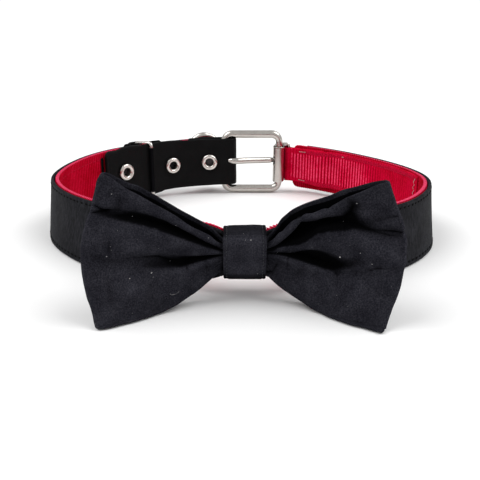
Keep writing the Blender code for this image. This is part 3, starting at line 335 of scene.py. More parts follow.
class Spline:
    """A natural cubic spline through rows of numbers, read by the arc length of its first two."""

    def __init__(self, rows):
        self.v = np.array(rows, float)
        step = np.hypot(*(np.diff(self.v[:, :2], axis=0).T))
        self.t = np.concatenate([[0.0], np.cumsum(step)])
        n, h = len(self.t), np.diff(self.t)
        a = np.zeros((n, n))
        b = np.zeros((n, self.v.shape[1]))
        a[0, 0] = a[-1, -1] = 1.0
        for i in range(1, n - 1):
            a[i, i - 1], a[i, i], a[i, i + 1] = h[i - 1], 2 * (h[i - 1] + h[i]), h[i]
            b[i] = 6 * ((self.v[i + 1] - self.v[i]) / h[i] - (self.v[i] - self.v[i - 1]) / h[i - 1])
        self.m = np.linalg.solve(a, b)
        fine = np.linspace(0, self.t[-1], 4001)
        xy = self.raw(fine)[:, :2]
        self.s = np.concatenate([[0.0], np.cumsum(np.hypot(*np.diff(xy, axis=0).T))])
        self.fine, self.xy = fine, xy
        self.length = float(self.s[-1])

    def raw(self, t):
        t = np.clip(np.atleast_1d(np.asarray(t, float)), 0.0, self.t[-1])
        i = np.clip(np.searchsorted(self.t, t, side="right") - 1, 0, len(self.t) - 2)
        h = (self.t[i + 1] - self.t[i])[:, None]
        a, b = (self.t[i + 1] - t)[:, None] / h, (t - self.t[i])[:, None] / h
        return (a * self.v[i] + b * self.v[i + 1]
                + ((a**3 - a) * self.m[i] + (b**3 - b) * self.m[i + 1]) * h * h / 6)

    def at(self, s):
        """Values and outward normals in plan at arc lengths s."""
        t = np.interp(np.atleast_1d(s), self.s, self.fine)
        p = self.raw(t)
        d = self.raw(t + 0.05) - self.raw(t - 0.05)
        n = np.hypot(d[:, 0], d[:, 1])
        return p, np.stack([d[:, 1] / n, -d[:, 0] / n], axis=1)

    def nearest(self, x, y):
        return float(self.s[int(np.argmin(np.hypot(self.xy[:, 0] - x, self.xy[:, 1] - y)))])


BASE = Spline(BAND_ROWS)


# ---------------------------------------------------------------- materials
def new_material(name):
    mat = bpy.data.materials.new(name)
    mat.use_nodes = True
    nodes, links = mat.node_tree.nodes, mat.node_tree.links
    return mat, nodes, links, nodes["Principled BSDF"]


def math_node(nodes, links, op, a, b=None, clamp=False):
    node = nodes.new("ShaderNodeMath")
    node.operation = op
    node.use_clamp = clamp
    for k, value in enumerate((a, b)):
        if value is None:
            continue
        if isinstance(value, (int, float)):
            node.inputs[k].default_value = value
        else:
            links.new(value, node.inputs[k])
    return node.outputs[0]


def noise_node(nodes, links, coord, scale, detail=2.0, rough=0.5, stretch=None):
    if stretch is not None:
        mapping = nodes.new("ShaderNodeMapping")
        mapping.inputs["Scale"].default_value = stretch
        links.new(coord, mapping.inputs["Vector"])
        coord = mapping.outputs[0]
    node = nodes.new("ShaderNodeTexNoise")
    node.inputs["Scale"].default_value = scale
    node.inputs["Detail"].default_value = detail
    node.inputs["Roughness"].default_value = rough
    links.new(coord, node.inputs["Vector"])
    return node.outputs["Fac"]


def ramp(nodes, links, fac, stops):
    node = nodes.new("ShaderNodeValToRGB")
    links.new(fac, node.inputs[0])
    el = node.color_ramp.elements
    while len(el) < len(stops):
        el.new(0.5)
    for e, (pos, colour) in zip(el, stops):
        e.position = pos
        e.color = (*colour, 1.0)
    return node.outputs[0]


def bump_node(nodes, links, height, distance, strength, normal=None):
    node = nodes.new("ShaderNodeBump")
    node.inputs["Distance"].default_value = distance
    node.inputs["Strength"].default_value = strength
    links.new(height, node.inputs["Height"])
    if normal is not None:
        links.new(normal, node.inputs["Normal"])
    return node.outputs[0]


def coords(nodes, links):
    tc = nodes.new("ShaderNodeTexCoord")
    sep = nodes.new("ShaderNodeSeparateXYZ")
    links.new(tc.outputs["UV"], sep.inputs[0])
    return tc.outputs["Object"], sep.outputs[0], sep.outputs[1]


def sine(nodes, links, value, pitch):
    return math_node(nodes, links, "SINE", math_node(nodes, links, "MULTIPLY", value, 2 * math.pi / pitch))


def sheen(shader, weight, rough, tint):
    shader.inputs["Sheen Weight"].default_value = weight
    shader.inputs["Sheen Roughness"].default_value = rough
    shader.inputs["Sheen Tint"].default_value = (*tint, 1.0)


def fold_painted_shade_and_highlight(nodes, links, colour):
    """Painted shade inside the folds and a painted highlight on their crests, read from the fold attribute."""
    attr = nodes.new("ShaderNodeAttribute")
    attr.attribute_name = "fold"
    sep = nodes.new("ShaderNodeSeparateColor")
    links.new(attr.outputs["Color"], sep.inputs[0])
    gain = ramp(nodes, links, sep.outputs[0], [(0.0, (0.04,) * 3), (0.22, (0.22,) * 3), (0.50, (0.62,) * 3),
                                                (1.0, (1.0,) * 3)])
    mix = nodes.new("ShaderNodeMix")
    mix.data_type = "RGBA"
    mix.blend_type = "MULTIPLY"
    mix.inputs["Factor"].default_value = 1.0
    links.new(colour, mix.inputs[6])
    links.new(gain, mix.inputs[7])
    return mix.outputs[2]


def cloth_material():
    """Black cotton: a fine plain weave with random variation in tone, painted shade in its folds and a painted
    highlight on their crests.
    """
    mat, nodes, links, shader = new_material("bow_cotton")
    obj, u, v = coords(nodes, links)
    weave = math_node(nodes, links, "MULTIPLY", sine(nodes, links, u, 0.00046), sine(nodes, links, v, 0.00042))
    slub = noise_node(nodes, links, obj, 2300.0, 2.0, 0.65)
    cloud = noise_node(nodes, links, obj, 160.0, 3.0, 0.5)
    mix = math_node(nodes, links, "ADD", math_node(nodes, links, "MULTIPLY", slub, 0.66),
                    math_node(nodes, links, "MULTIPLY", cloud, 0.34))
    mix = math_node(nodes, links, "ADD", mix, math_node(nodes, links, "MULTIPLY", weave, 0.06))
    colour = ramp(nodes, links, mix, [(0.34, (0.0085, 0.0084, 0.0118)), (0.50, (0.0205, 0.0203, 0.0266)),
                                      (0.66, (0.0430, 0.0426, 0.0525))])
    # painted shade in the folds and painted highlight on the crests
    links.new(fold_painted_shade_and_highlight(nodes, links, colour), shader.inputs["Base Color"])
    rough = math_node(nodes, links, "ADD", math_node(nodes, links, "MULTIPLY", slub, 0.16), 0.74)
    links.new(rough, shader.inputs["Roughness"])
    shader.inputs["Specular IOR Level"].default_value = 0.01
    sheen(shader, 0.006, 0.45, (0.85, 0.85, 1.0))
    normal = bump_node(nodes, links, weave, 0.00006, 0.55)
    normal = bump_node(nodes, links, slub, 0.00020, 0.50, normal)
    links.new(normal, shader.inputs["Normal"])
    return mat


def webbing_material(name, dark, mid, light, rib, sheen_set, rough=0.55, rib_height=0.00010, fleck=0.5,
                     across=0.00062, rib_highlight=0.22, fade=None, edges=None, spec=0.03,
                     stops=(0.30, 0.58, 0.86), highlight_stop=None, near=None, streak=None):
    """Woven tape: ribs across its width, fine threads along it, and a painted highlight on the ribs' crests."""
    mat, nodes, links, shader = new_material(name)
    obj, u, v = coords(nodes, links)
    ribs = math_node(nodes, links, "ABSOLUTE", sine(nodes, links, u, rib * 2))
    threads = sine(nodes, links, v, across)
    fibre = noise_node(nodes, links, obj, 1300.0, 2.0, 0.6, streak)
    cloud = noise_node(nodes, links, obj, 120.0, 3.0, 0.5)
    height = math_node(nodes, links, "ADD", ribs, math_node(nodes, links, "MULTIPLY", threads, 0.22))
    if fade is not None:
        # the ribs' bump and their painted highlight fade out toward the tape's end and along its sewn edges
        here = math_node(nodes, links, "MULTIPLY", math_node(nodes, links, "SUBTRACT", u, fade[0]),
                         1.0 / (fade[1] - fade[0]), True)
        low = math_node(nodes, links, "MULTIPLY", math_node(nodes, links, "SUBTRACT", v, edges[0]), 900.0, True)
        high = math_node(nodes, links, "MULTIPLY", math_node(nodes, links, "SUBTRACT", edges[1], v), 900.0, True)
        here = math_node(nodes, links, "MULTIPLY", here, math_node(nodes, links, "MULTIPLY", low, high))
        if near is not None:
            here = math_node(nodes, links, "MULTIPLY", here, math_node(
                nodes, links, "MULTIPLY", math_node(nodes, links, "SUBTRACT", near, u), 500.0, True))
        strength = math_node(nodes, links, "ADD", math_node(nodes, links, "MULTIPLY", here, 0.85), 0.15)
        flat = math_node(nodes, links, "MULTIPLY", math_node(nodes, links, "SUBTRACT", 1.0, strength), 0.45)
        ribs = math_node(nodes, links, "ADD", math_node(nodes, links, "MULTIPLY", ribs, strength), flat)
    # the ribs' crests are painted lighter than their hollows, a painted highlight
    tone = math_node(nodes, links, "ADD", math_node(nodes, links, "MULTIPLY", ribs, rib_highlight),
                     math_node(nodes, links, "MULTIPLY", fibre, fleck))
    tone = math_node(nodes, links, "ADD", tone, math_node(nodes, links, "MULTIPLY", cloud, 0.30))
    tones = list(zip(stops, (dark, mid, light))) + ([highlight_stop] if highlight_stop else [])
    links.new(ramp(nodes, links, tone, tones), shader.inputs["Base Color"])
    links.new(math_node(nodes, links, "ADD", math_node(nodes, links, "MULTIPLY", fibre, 0.2), rough - 0.1),
              shader.inputs["Roughness"])
    shader.inputs["Specular IOR Level"].default_value = spec
    sheen(shader, *sheen_set)
    normal = bump_node(nodes, links, height, rib_height, 0.6)
    normal = bump_node(nodes, links, fibre, 0.00015, 0.35, normal)
    links.new(normal, shader.inputs["Normal"])
    return mat


def strap_material():
    """Coated strap: smooth and matt, with a faint fine grain and a few scuffs."""
    mat, nodes, links, shader = new_material("coated_strap")
    obj, u, v = coords(nodes, links)
    cells = nodes.new("ShaderNodeTexVoronoi")
    cells.inputs["Scale"].default_value = 2600.0
    links.new(obj, cells.inputs["Vector"])
    cloud = noise_node(nodes, links, obj, 95.0, 4.0, 0.55)
    grain = noise_node(nodes, links, obj, 1500.0, 2.0, 0.5)
    colour = ramp(nodes, links, cloud, [(0.30, (0.0026, 0.0026, 0.0028)), (0.55, (0.0038, 0.0038, 0.0041)),
                                        (0.80, (0.0062, 0.0062, 0.0065))])
    links.new(colour, shader.inputs["Base Color"])
    rough = math_node(nodes, links, "ADD", math_node(nodes, links, "MULTIPLY", cloud, 0.22), 0.40)
    links.new(rough, shader.inputs["Roughness"])
    shader.inputs["Specular IOR Level"].default_value = 0.07
    normal = bump_node(nodes, links, cells.outputs["Distance"], 0.00005, 0.30)
    normal = bump_node(nodes, links, grain, 0.00008, 0.25, normal)
    links.new(normal, shader.inputs["Normal"])
    return mat


def nickel_material(name="satin_nickel", colour=(0.55, 0.52, 0.485), rough=0.22, painted_dark_legs=None):
    """Nickel plate: satin, warm, with fine rubbing marks and slightly duller patches."""
    mat, nodes, links, shader = new_material(name)
    obj, u, v = coords(nodes, links)
    patch = noise_node(nodes, links, obj, 260.0, 3.0, 0.6)
    fine = noise_node(nodes, links, obj, 2400.0, 2.0, 0.6, (1.0, 1.0, 0.25))
    tone = math_node(nodes, links, "ADD", math_node(nodes, links, "MULTIPLY", patch, 0.7),
                     math_node(nodes, links, "MULTIPLY", fine, 0.3))
    dark = tuple(c * 0.86 for c in colour)
    light = tuple(min(1.0, c * 1.08) for c in colour)
    plate = ramp(nodes, links, tone, [(0.30, dark), (0.55, colour), (0.80, light)])
    if painted_dark_legs is not None:
        # the upright legs are painted near-black, painted shade and a painted dark reflection; only the bends at the
        # top and bottom show bare nickel
        where = nodes.new("ShaderNodeSeparateXYZ")
        links.new(obj, where.inputs[0])
        low, high = painted_dark_legs
        up = math_node(nodes, links, "MULTIPLY", math_node(nodes, links, "SUBTRACT", where.outputs[2], low), 2500.0, True)
        down = math_node(nodes, links, "MULTIPLY", math_node(nodes, links, "SUBTRACT", high, where.outputs[2]), 2500.0, True)
        mask = math_node(nodes, links, "MULTIPLY", up, down)
        mix = nodes.new("ShaderNodeMix")
        mix.data_type = "RGBA"
        links.new(mask, mix.inputs[0])
        links.new(plate, mix.inputs[6])
        mix.inputs[7].default_value = (0.003, 0.003, 0.004, 1.0)
        plate = mix.outputs[2]
        links.new(math_node(nodes, links, "SUBTRACT", 1.0, mask), shader.inputs["Metallic"])
        shader.inputs["Specular IOR Level"].default_value = 0.02
    else:
        shader.inputs["Metallic"].default_value = 1.0
    links.new(plate, shader.inputs["Base Color"])
    links.new(math_node(nodes, links, "ADD", math_node(nodes, links, "MULTIPLY", tone, 0.16), rough - 0.08),
              shader.inputs["Roughness"])
    links.new(bump_node(nodes, links, fine, 0.00002, 0.25), shader.inputs["Normal"])
    return mat


def thread_material(name, colour, sheen_weight=0.1):
    mat, nodes, links, shader = new_material(name)
    obj, u, v = coords(nodes, links)
    twist = noise_node(nodes, links, obj, 2800.0, 2.0, 0.6, (1.0, 1.0, 0.4))
    dark = tuple(c * 0.6 for c in colour)
    light = tuple(min(1.0, c * 1.35) for c in colour)
    links.new(ramp(nodes, links, twist, [(0.3, dark), (0.52, colour), (0.75, light)]),
              shader.inputs["Base Color"])
    shader.inputs["Roughness"].default_value = 0.6
    shader.inputs["Specular IOR Level"].default_value = 0.04
    sheen(shader, sheen_weight, 0.4, (1.0, 1.0, 1.0))
    links.new(bump_node(nodes, links, twist, 0.00008, 0.5), shader.inputs["Normal"])
    return mat


def lint_material():
    mat, nodes, links, shader = new_material("lint")
    obj, u, v = coords(nodes, links)
    fac = noise_node(nodes, links, obj, 700.0, 1.0, 0.5)
    links.new(ramp(nodes, links, fac, [(0.35, (0.16, 0.16, 0.17)), (0.7, (0.42, 0.41, 0.40))]),
              shader.inputs["Base Color"])
    shader.inputs["Roughness"].default_value = 0.9
    return mat


RED = dict(dark=(0.21, 0.0002, 0.003), mid=(0.37, 0.0004, 0.011), light=(0.64, 0.007, 0.046))
MATS = {
    "cloth": cloth_material(),
    "outer": webbing_material("black_webbing_satin", (0.0030, 0.0030, 0.0040), (0.0092, 0.0093, 0.0116),
                              (0.0230, 0.0232, 0.0276), 0.00050, (0.006, 0.4, (0.9, 0.95, 1.0)), 0.60,
                              0.00008, 0.95, stops=(0.56, 0.76, 0.96), streak=(1.0, 1.0, 0.14)),
    "lining": webbing_material("red_webbing_lining", RED["dark"], RED["mid"], RED["light"], 0.00125,
                               (0.003, 0.45, (1.0, 0.20, 0.32)), 0.66, 0.00012, 0.36, rib_highlight=0.36, spec=0.012),
    "tab": webbing_material("red_webbing_tab", (0.16, 0.0002, 0.003), (0.42, 0.0005, 0.015),
                            (0.66, 0.0030, 0.045), 0.0018,
                            (0.003, 0.45, (1.0, 0.20, 0.32)), 0.60, 0.00014, 0.40, 0.00055, 0.60,
                            (0.030, 0.046), (0.0014, 0.0176), 0.012, (0.38, 0.58, 0.82),
                            (1.0, (0.90, 0.070, 0.165)), 0.0905),
    # a darker copy of the red webbing for the turn by the sleeve: painted shade
    "tab_painted_shade": webbing_material("red_webbing_shaded", (0.07, 0.0006, 0.004), (0.14, 0.0010, 0.009),
                                 (0.26, 0.004, 0.022), 0.0011,
                                 (0.03, 0.45, (1.0, 0.35, 0.45)), 0.66, 0.00010, 0.55, 0.00055, 0.30),
    "strap": strap_material(),
    "nickel": nickel_material(),
    "nickel_ring": nickel_material("satin_nickel_ring", (0.68, 0.64, 0.60), 0.26),
    # the keeper wire, its upright legs painted near-black as painted shade and dark reflection
    "nickel_keeper": nickel_material("wire_painted_dark_legs", (0.66, 0.63, 0.60), 0.22, (0.0046, 0.0296)),
    "thread_black": thread_material("thread_black", (0.0022, 0.0022, 0.0026), 0.004),
    "thread_grey": thread_material("thread_grey", (0.022, 0.022, 0.025), 0.04),
    "thread_dim": thread_material("thread_dim", (0.013, 0.013, 0.015), 0.03),
    "thread_light": thread_material("thread_light", (0.052, 0.052, 0.056), 0.02),
    # the lightest grey, used for the third eyelet's hole: painted light
    "hole_painted_light_grey": thread_material("hole_painted_light_grey", (0.100, 0.100, 0.106), 0.02),
    "thread_red": thread_material("thread_red", (0.40, 0.003, 0.024), 0.01),
    "thread_edge": thread_material("thread_edge", (0.50, 0.004, 0.036), 0.01),
    "thread_rose_painted_highlight": thread_material("thread_rose_painted_highlight", (0.72, 0.050, 0.130), 0.02),
    "thread_pale": thread_material("thread_pale", (0.55, 0.24, 0.26), 0.02),
    "lint": lint_material(),
}


# ---------------------------------------------------------------- mesh makers
def make_piece(name, verts, faces, material, body=COLLAR, uv=None, sharp=None):
    me = bpy.data.meshes.new(name)
    me.from_pydata(world(verts).tolist(), [], [tuple(f) for f in faces])
    if uv is not None:
        layer = me.uv_layers.new(name="UVMap")
        idx = np.empty(len(me.loops), np.int32)
        me.loops.foreach_get("vertex_index", idx)
        layer.data.foreach_set("uv", np.asarray(uv, np.float32)[idx].ravel())
    me.shade_smooth()
    if sharp:
        me.set_sharp_from_angle(angle=math.radians(sharp))
    bm = bmesh.new()
    bm.from_mesh(me)
    if bm.calc_volume(signed=True) < 0:
        bmesh.ops.reverse_faces(bm, faces=bm.faces)
        bm.to_mesh(me)
    bm.free()
    me.materials.append(MATS[material])
    ob = bpy.data.objects.new(name, me)
    SCENE.collection.objects.link(ob)
    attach(ob, body)
    return ob


def frame_of(mid, closed):
    if closed:
        tu = (np.roll(mid, -1, axis=0) - np.roll(mid, 1, axis=0)) / 2
    else:
        tu = np.gradient(mid, axis=0)
    tv = np.gradient(mid, axis=1)
    return unit(tu), unit(tv), unit(np.cross(tu, tv))


def ribbon(name, mid, thick, material, closed=False, front=0.0, back=0.0, rim=5, body=COLLAR,
           ends=True):
    """A closed strip of the given thickness about a grid of middle points, with round edges.

    mid is (along, across, 3). front and back add height to each face. Returns the piece and the
    strip's front and back faces for what is sewn on them."""
    nu, nv = mid.shape[:2]
    tu, tv, n = frame_of(mid, closed)
    half = np.broadcast_to(np.asarray(thick, float) / 2, (nu, nv)).copy()
    up = half + np.broadcast_to(front, (nu, nv))
    down = half + np.broadcast_to(back, (nu, nv))
    du = np.linalg.norm(np.diff(mid, axis=0), axis=2).mean(axis=1)
    su = np.concatenate([[0], np.cumsum(du)])
    dv = np.linalg.norm(np.diff(mid, axis=1), axis=2).mean(axis=0)
    sv = np.concatenate([[0], np.cumsum(dv)])
    face_front, face_back = mid + n * up[..., None], mid - n * down[..., None]

    if not closed and ends:
        for side, row in ((0, 0), (1, -1)):
            sign = -1 if side == 0 else 1
            extra = [(math.radians(a), row) for a in (25, 50, 72)]
            m = [mid[row] + sign * tu[row] * half[row][:, None] * math.sin(a) for a, _ in extra]
            h = [(half[row] * math.cos(a), up[row] * math.cos(a), down[row] * math.cos(a)) for a, _ in extra]
            s = [su[row] + sign * float(half[row].mean()) * math.sin(a) for a, _ in extra]
            if side == 0:
                m, h, s = m[::-1], h[::-1], s[::-1]
                mid = np.concatenate([m, mid]); su = np.concatenate([s, su])
                half = np.concatenate([[q[0] for q in h], half]); up = np.concatenate([[q[1] for q in h], up])
                down = np.concatenate([[q[2] for q in h], down])
                tv = np.concatenate([[tv[0]] * 3, tv]); n = np.concatenate([[n[0]] * 3, n])
                tu = np.concatenate([[tu[0]] * 3, tu])
            else:
                mid = np.concatenate([mid, m]); su = np.concatenate([su, s])
                half = np.concatenate([half, [q[0] for q in h]]); up = np.concatenate([up, [q[1] for q in h]])
                down = np.concatenate([down, [q[2] for q in h]])
                tv = np.concatenate([tv, [tv[-1]] * 3]); n = np.concatenate([n, [n[-1]] * 3])
                tu = np.concatenate([tu, [tu[-1]] * 3])
        nu = len(mid)

    angles = np.radians(np.linspace(90, -90, rim + 2)[1:-1])
    a = mid + n * up[..., None]
    b = (mid - n * down[..., None])[:, ::-1]
    loop, vv = [a], [sv]
    edge, edge_v = [], []
    for t in angles:
        r = np.where(t >= 0, up[:, -1], down[:, -1])[:, None]
        edge.append(mid[:, -1] + tv[:, -1] * half[:, -1][:, None] * math.cos(t) + n[:, -1] * r * math.sin(t))
        edge_v.append(sv[-1] + float(half.mean()) * math.cos(t))
    loop.append(np.stack(edge, axis=1)); vv.append(np.array(edge_v))
    loop.append(b); vv.append(sv[::-1])
    edge, edge_v = [], []
    for t in angles[::-1]:
        r = np.where(t >= 0, up[:, 0], down[:, 0])[:, None]
        edge.append(mid[:, 0] - tv[:, 0] * half[:, 0][:, None] * math.cos(t) + n[:, 0] * r * math.sin(t))
        edge_v.append(-float(half.mean()) * math.cos(t))
    loop.append(np.stack(edge, axis=1)); vv.append(np.array(edge_v))
    pts = np.concatenate(loop, axis=1)
    vv = np.concatenate(vv)
    m = pts.shape[1]
    uv = np.stack([np.repeat(su[:, None], m, axis=1), np.repeat(vv[None, :], nu, axis=0)], axis=2) * MM

    i = np.arange(nu if closed else nu - 1)[:, None]
    j = np.arange(m)[None, :]
    i2, j2 = (i + 1) % nu, (j + 1) % m
    quads = np.stack([i * m + j, i2 * m + j, i2 * m + j2, i * m + j2], axis=2).reshape(-1, 4).tolist()
    if not closed:
        for row, flip in ((0, False), (nu - 1, True)):
            base = row * m
            caps = []
            for k in range(nv - 1):
                caps.append([base + k, base + k + 1, base + 2 * nv + rim - 2 - k, base + 2 * nv + rim - 1 - k])
            caps.append([base + nv - 1 + k for k in range(rim + 2)])
            caps.append([base + 2 * nv + rim - 1 + k for k in range(rim + 1)] + [base])
            quads += [c[::-1] for c in caps] if flip else caps
    ob = make_piece(name, pts.reshape(-1, 3), quads, material, body, uv.reshape(-1, 2))
    return ob, face_front, face_back, n[3:-3] if (not closed and ends) else n


def sweep(name, path, radius, material, closed=False, radii=None, sides=20, body=COLLAR,
          squash=1.0, up=(0, 0, 1)):
    """A round rod along a path (mm), with domed ends."""
    p = np.asarray(path, float)
    n = len(p)
    r = np.full(n, radius) if radii is None else radius * np.asarray(radii, float)
    if closed:
        t = unit(np.roll(p, -1, axis=0) - np.roll(p, 1, axis=0))
    else:
        t = unit(np.gradient(p, axis=0))
    normal = np.zeros((n, 3))
    ref = np.array(up, float)
    ref = ref - t[0] * (ref @ t[0])
    if np.linalg.norm(ref) < 0.2:
        ref = np.array((0, 1.0, 0)) - t[0] * t[0][1]
    normal[0] = ref / np.linalg.norm(ref)
    for i in range(1, n):
        v = normal[i - 1] - t[i] * (normal[i - 1] @ t[i])
        normal[i] = v / np.linalg.norm(v)
    if closed:                       # spread the frame's closing twist along the loop
        v = normal[-1] - t[0] * (normal[-1] @ t[0])
        v /= np.linalg.norm(v)
        twist = math.atan2(np.cross(v, normal[0]) @ t[0], v @ normal[0])
        for i in range(n):
            ang = twist * i / n
            side = np.cross(t[i], normal[i])
            normal[i] = normal[i] * math.cos(ang) + side * math.sin(ang)
    side = np.cross(t, normal)
    rows_p, rows_r, rows_n, rows_s = p, r, normal, side
    if not closed:
        for end, sign in ((0, -1), (-1, 1)):
            cap = [(math.sin(math.radians(a)), math.cos(math.radians(a))) for a in (22, 44, 64, 80)]
            q = np.array([p[end] + sign * t[end] * r[end] * s for s, _ in cap])
            qr = np.array([r[end] * c for _, c in cap])
            if end == 0:
                q, qr = q[::-1], qr[::-1]
                rows_p = np.concatenate([q, rows_p]); rows_r = np.concatenate([qr, rows_r])
                rows_n = np.concatenate([[normal[0]] * 4, rows_n]); rows_s = np.concatenate([[side[0]] * 4, rows_s])
            else:
                rows_p = np.concatenate([rows_p, q]); rows_r = np.concatenate([rows_r, qr])
                rows_n = np.concatenate([rows_n, [normal[-1]] * 4]); rows_s = np.concatenate([rows_s, [side[-1]] * 4])
    m = len(rows_p)
    ang = np.linspace(0, 2 * math.pi, sides, endpoint=False)
    ring = (np.cos(ang)[None, :, None] * rows_n[:, None, :] * squash
            + np.sin(ang)[None, :, None] * rows_s[:, None, :])
    pts = rows_p[:, None, :] + ring * rows_r[:, None, None]
    run = np.concatenate([[0], np.cumsum(np.linalg.norm(np.diff(rows_p, axis=0), axis=1))])
    uv = np.stack([np.repeat(run[:, None], sides, 1), np.repeat((ang * radius)[None, :], m, 0)], axis=2) * MM
    i = np.arange(m if closed else m - 1)[:, None]
    j = np.arange(sides)[None, :]
    i2, j2 = (i + 1) % m, (j + 1) % sides
    faces = np.stack([i * sides + j, i * sides + j2, i2 * sides + j2, i2 * sides + j], axis=2).reshape(-1, 4).tolist()
    if not closed:
        faces.append(list(range(sides)))
        faces.append([(m - 1) * sides + k for k in range(sides)][::-1])
    return make_piece(name, pts.reshape(-1, 3), faces, material, body, uv.reshape(-1, 2))


def lathe(name, profile, matrix, material, steps=56):
    """A closed ring turned about the matrix's Z from (radius, height) rows in mm."""
    prof = np.asarray(profile, float)
    ang = np.linspace(0, 2 * math.pi, steps, endpoint=False)
    k = len(prof)
    pts = np.zeros((steps, k, 3))
    pts[..., 0] = prof[None, :, 0] * np.cos(ang)[:, None]
    pts[..., 1] = prof[None, :, 0] * np.sin(ang)[:, None]
    pts[..., 2] = prof[None, :, 1]
    rot = np.array(matrix.to_3x3())
    at = np.array(matrix.translation)
    pts = pts @ rot.T + at
    i, j = np.arange(steps)[:, None], np.arange(k)[None, :]
    i2, j2 = (i + 1) % steps, (j + 1) % k
    faces = np.stack([i * k + j, i * k + j2, i2 * k + j2, i2 * k + j], axis=2).reshape(-1, 4)
    run = np.concatenate([[0], np.cumsum(np.linalg.norm(np.diff(prof, axis=0), axis=1))])
    uv = np.stack([np.repeat((ang * 3.0)[:, None], k, 1), np.repeat(run[None, :], steps, 0)], axis=2) * MM
    return make_piece(name, pts.reshape(-1, 3), faces.tolist(), material, uv=uv.reshape(-1, 2))


def pill_template(sides=6, rings=5):
    verts, faces = [(-1.0, 0.0, 0.0)], []
    for i in range(1, rings + 1):
        a = math.pi * i / (rings + 1)
        x, r = -math.copysign(abs(math.cos(a)) ** 0.7, math.cos(a)), math.sin(a) ** 0.6
        for k in range(sides):
            b = 2 * math.pi * k / sides
            verts.append((x, r * math.cos(b), r * math.sin(b)))
    verts.append((1.0, 0.0, 0.0))
    for k in range(sides):
        faces.append((0, 1 + (k + 1) % sides, 1 + k))
    for i in range(rings - 1):
        for k in range(sides):
            a, b = 1 + i * sides + k, 1 + i * sides + (k + 1) % sides
            faces.append((a, b, b + sides, a + sides))
    last, tip = 1 + (rings - 1) * sides, len(verts) - 1
    for k in range(sides):
        faces.append((last + k, last + (k + 1) % sides, tip))
    return np.array(verts), faces


PILL, PILL_FACES = pill_template()


def pills(name, centres, along, normals, size, material, body=COLLAR):
    """Many small rounded stitches or specks in one mesh. size is (length, width, height) in mm."""
    centres, along, normals = (np.asarray(q, float) for q in (centres, along, normals))
    size = np.broadcast_to(np.asarray(size, float), (len(centres), 3))
    t = unit(along - normals * np.sum(along * normals, axis=1, keepdims=True))
    s = np.cross(normals, t)
    v = (centres[:, None, :]
         + PILL[None, :, 0:1] * t[:, None, :] * size[:, None, 0:1] / 2
         + PILL[None, :, 1:2] * s[:, None, :] * size[:, None, 1:2] / 2
         + PILL[None, :, 2:3] * normals[:, None, :] * size[:, None, 2:3] / 2)
    k = len(PILL)
    faces = [tuple(a + q * k for a in f) for q in range(len(centres)) for f in PILL_FACES]
    uv = np.stack([v[..., 0], v[..., 2]], axis=2).reshape(-1, 2) * MM
    return make_piece(name, v.reshape(-1, 3), faces, material, body, uv)


def seam_points(line, normals, pitch, start=0.0, end=0.0, jitter=0.0, seed=0):
    """Centres, directions and normals of stitches spaced `pitch` mm along a line."""
    run = np.concatenate([[0], np.cumsum(np.linalg.norm(np.diff(line, axis=0), axis=1))])
    at = np.arange(start + pitch / 2, run[-1] - end, pitch)
    if jitter:
        k = np.stack([at, np.zeros_like(at), np.zeros_like(at)], axis=1)
        at = at + noise(k, pitch * 0.7, seed) * jitter
    c = np.stack([np.interp(at, run, line[:, k]) for k in range(3)], axis=1)
    ahead = np.stack([np.interp(at + 0.4, run, line[:, k]) for k in range(3)], axis=1)
    behind = np.stack([np.interp(at - 0.4, run, line[:, k]) for k in range(3)], axis=1)
    nn = unit(np.stack([np.interp(at, run, normals[:, k]) for k in range(3)], axis=1))
    return c, unit(ahead - behind), nn


# ---------------------------------------------------------------- strips along the band
def rows_across(frames, thick, rows):
    """Middle grid of a strip from frames (x, y, nx, ny, zc, half, lean), low edge first."""
    f = np.asarray(frames, float)
    v = np.sin(np.linspace(-1, 1, rows) * math.pi / 2 * 0.86) / math.sin(math.pi / 2 * 0.86)
    half = f[:, 5] - thick / 2
    z = f[:, 4][:, None] + half[:, None] * v[None, :]
    x = f[:, 0][:, None] - f[:, 2][:, None] * f[:, 6][:, None] * v[None, :]
    y = f[:, 1][:, None] - f[:, 3][:, None] * f[:, 6][:, None] * v[None, :]
    return np.stack([x, y, z], axis=2), v


def band_frames(s, inward, half_fn=None):
    p, n = BASE.at(s)
    f = np.zeros((len(s), 7))
    f[:, 0] = p[:, 0] - n[:, 0] * inward
    f[:, 1] = p[:, 1] - n[:, 1] * inward
    f[:, 2:4] = n
    f[:, 4], f[:, 5], f[:, 6] = p[:, 2], p[:, 3], p[:, 4]
    return f


def plan_frames(points, zc, half):
    p = np.asarray(points, float)
    t = unit(np.gradient(p, axis=0))
    f = np.zeros((len(p), 7))
    f[:, 0:2] = p
    f[:, 2], f[:, 3] = t[:, 1], -t[:, 0]
    f[:, 4], f[:, 5] = zc, half
    return f


def groove(v, half, inset, depth=0.16, width=0.55):
    """A sewn groove `inset` mm inside each edge; v runs -1 to 1 over half + half mm."""
    d = (1 - np.abs(v))[None, :] * np.asarray(half)[:, None] - inset
    return -depth * np.exp(-(d / width) ** 2)


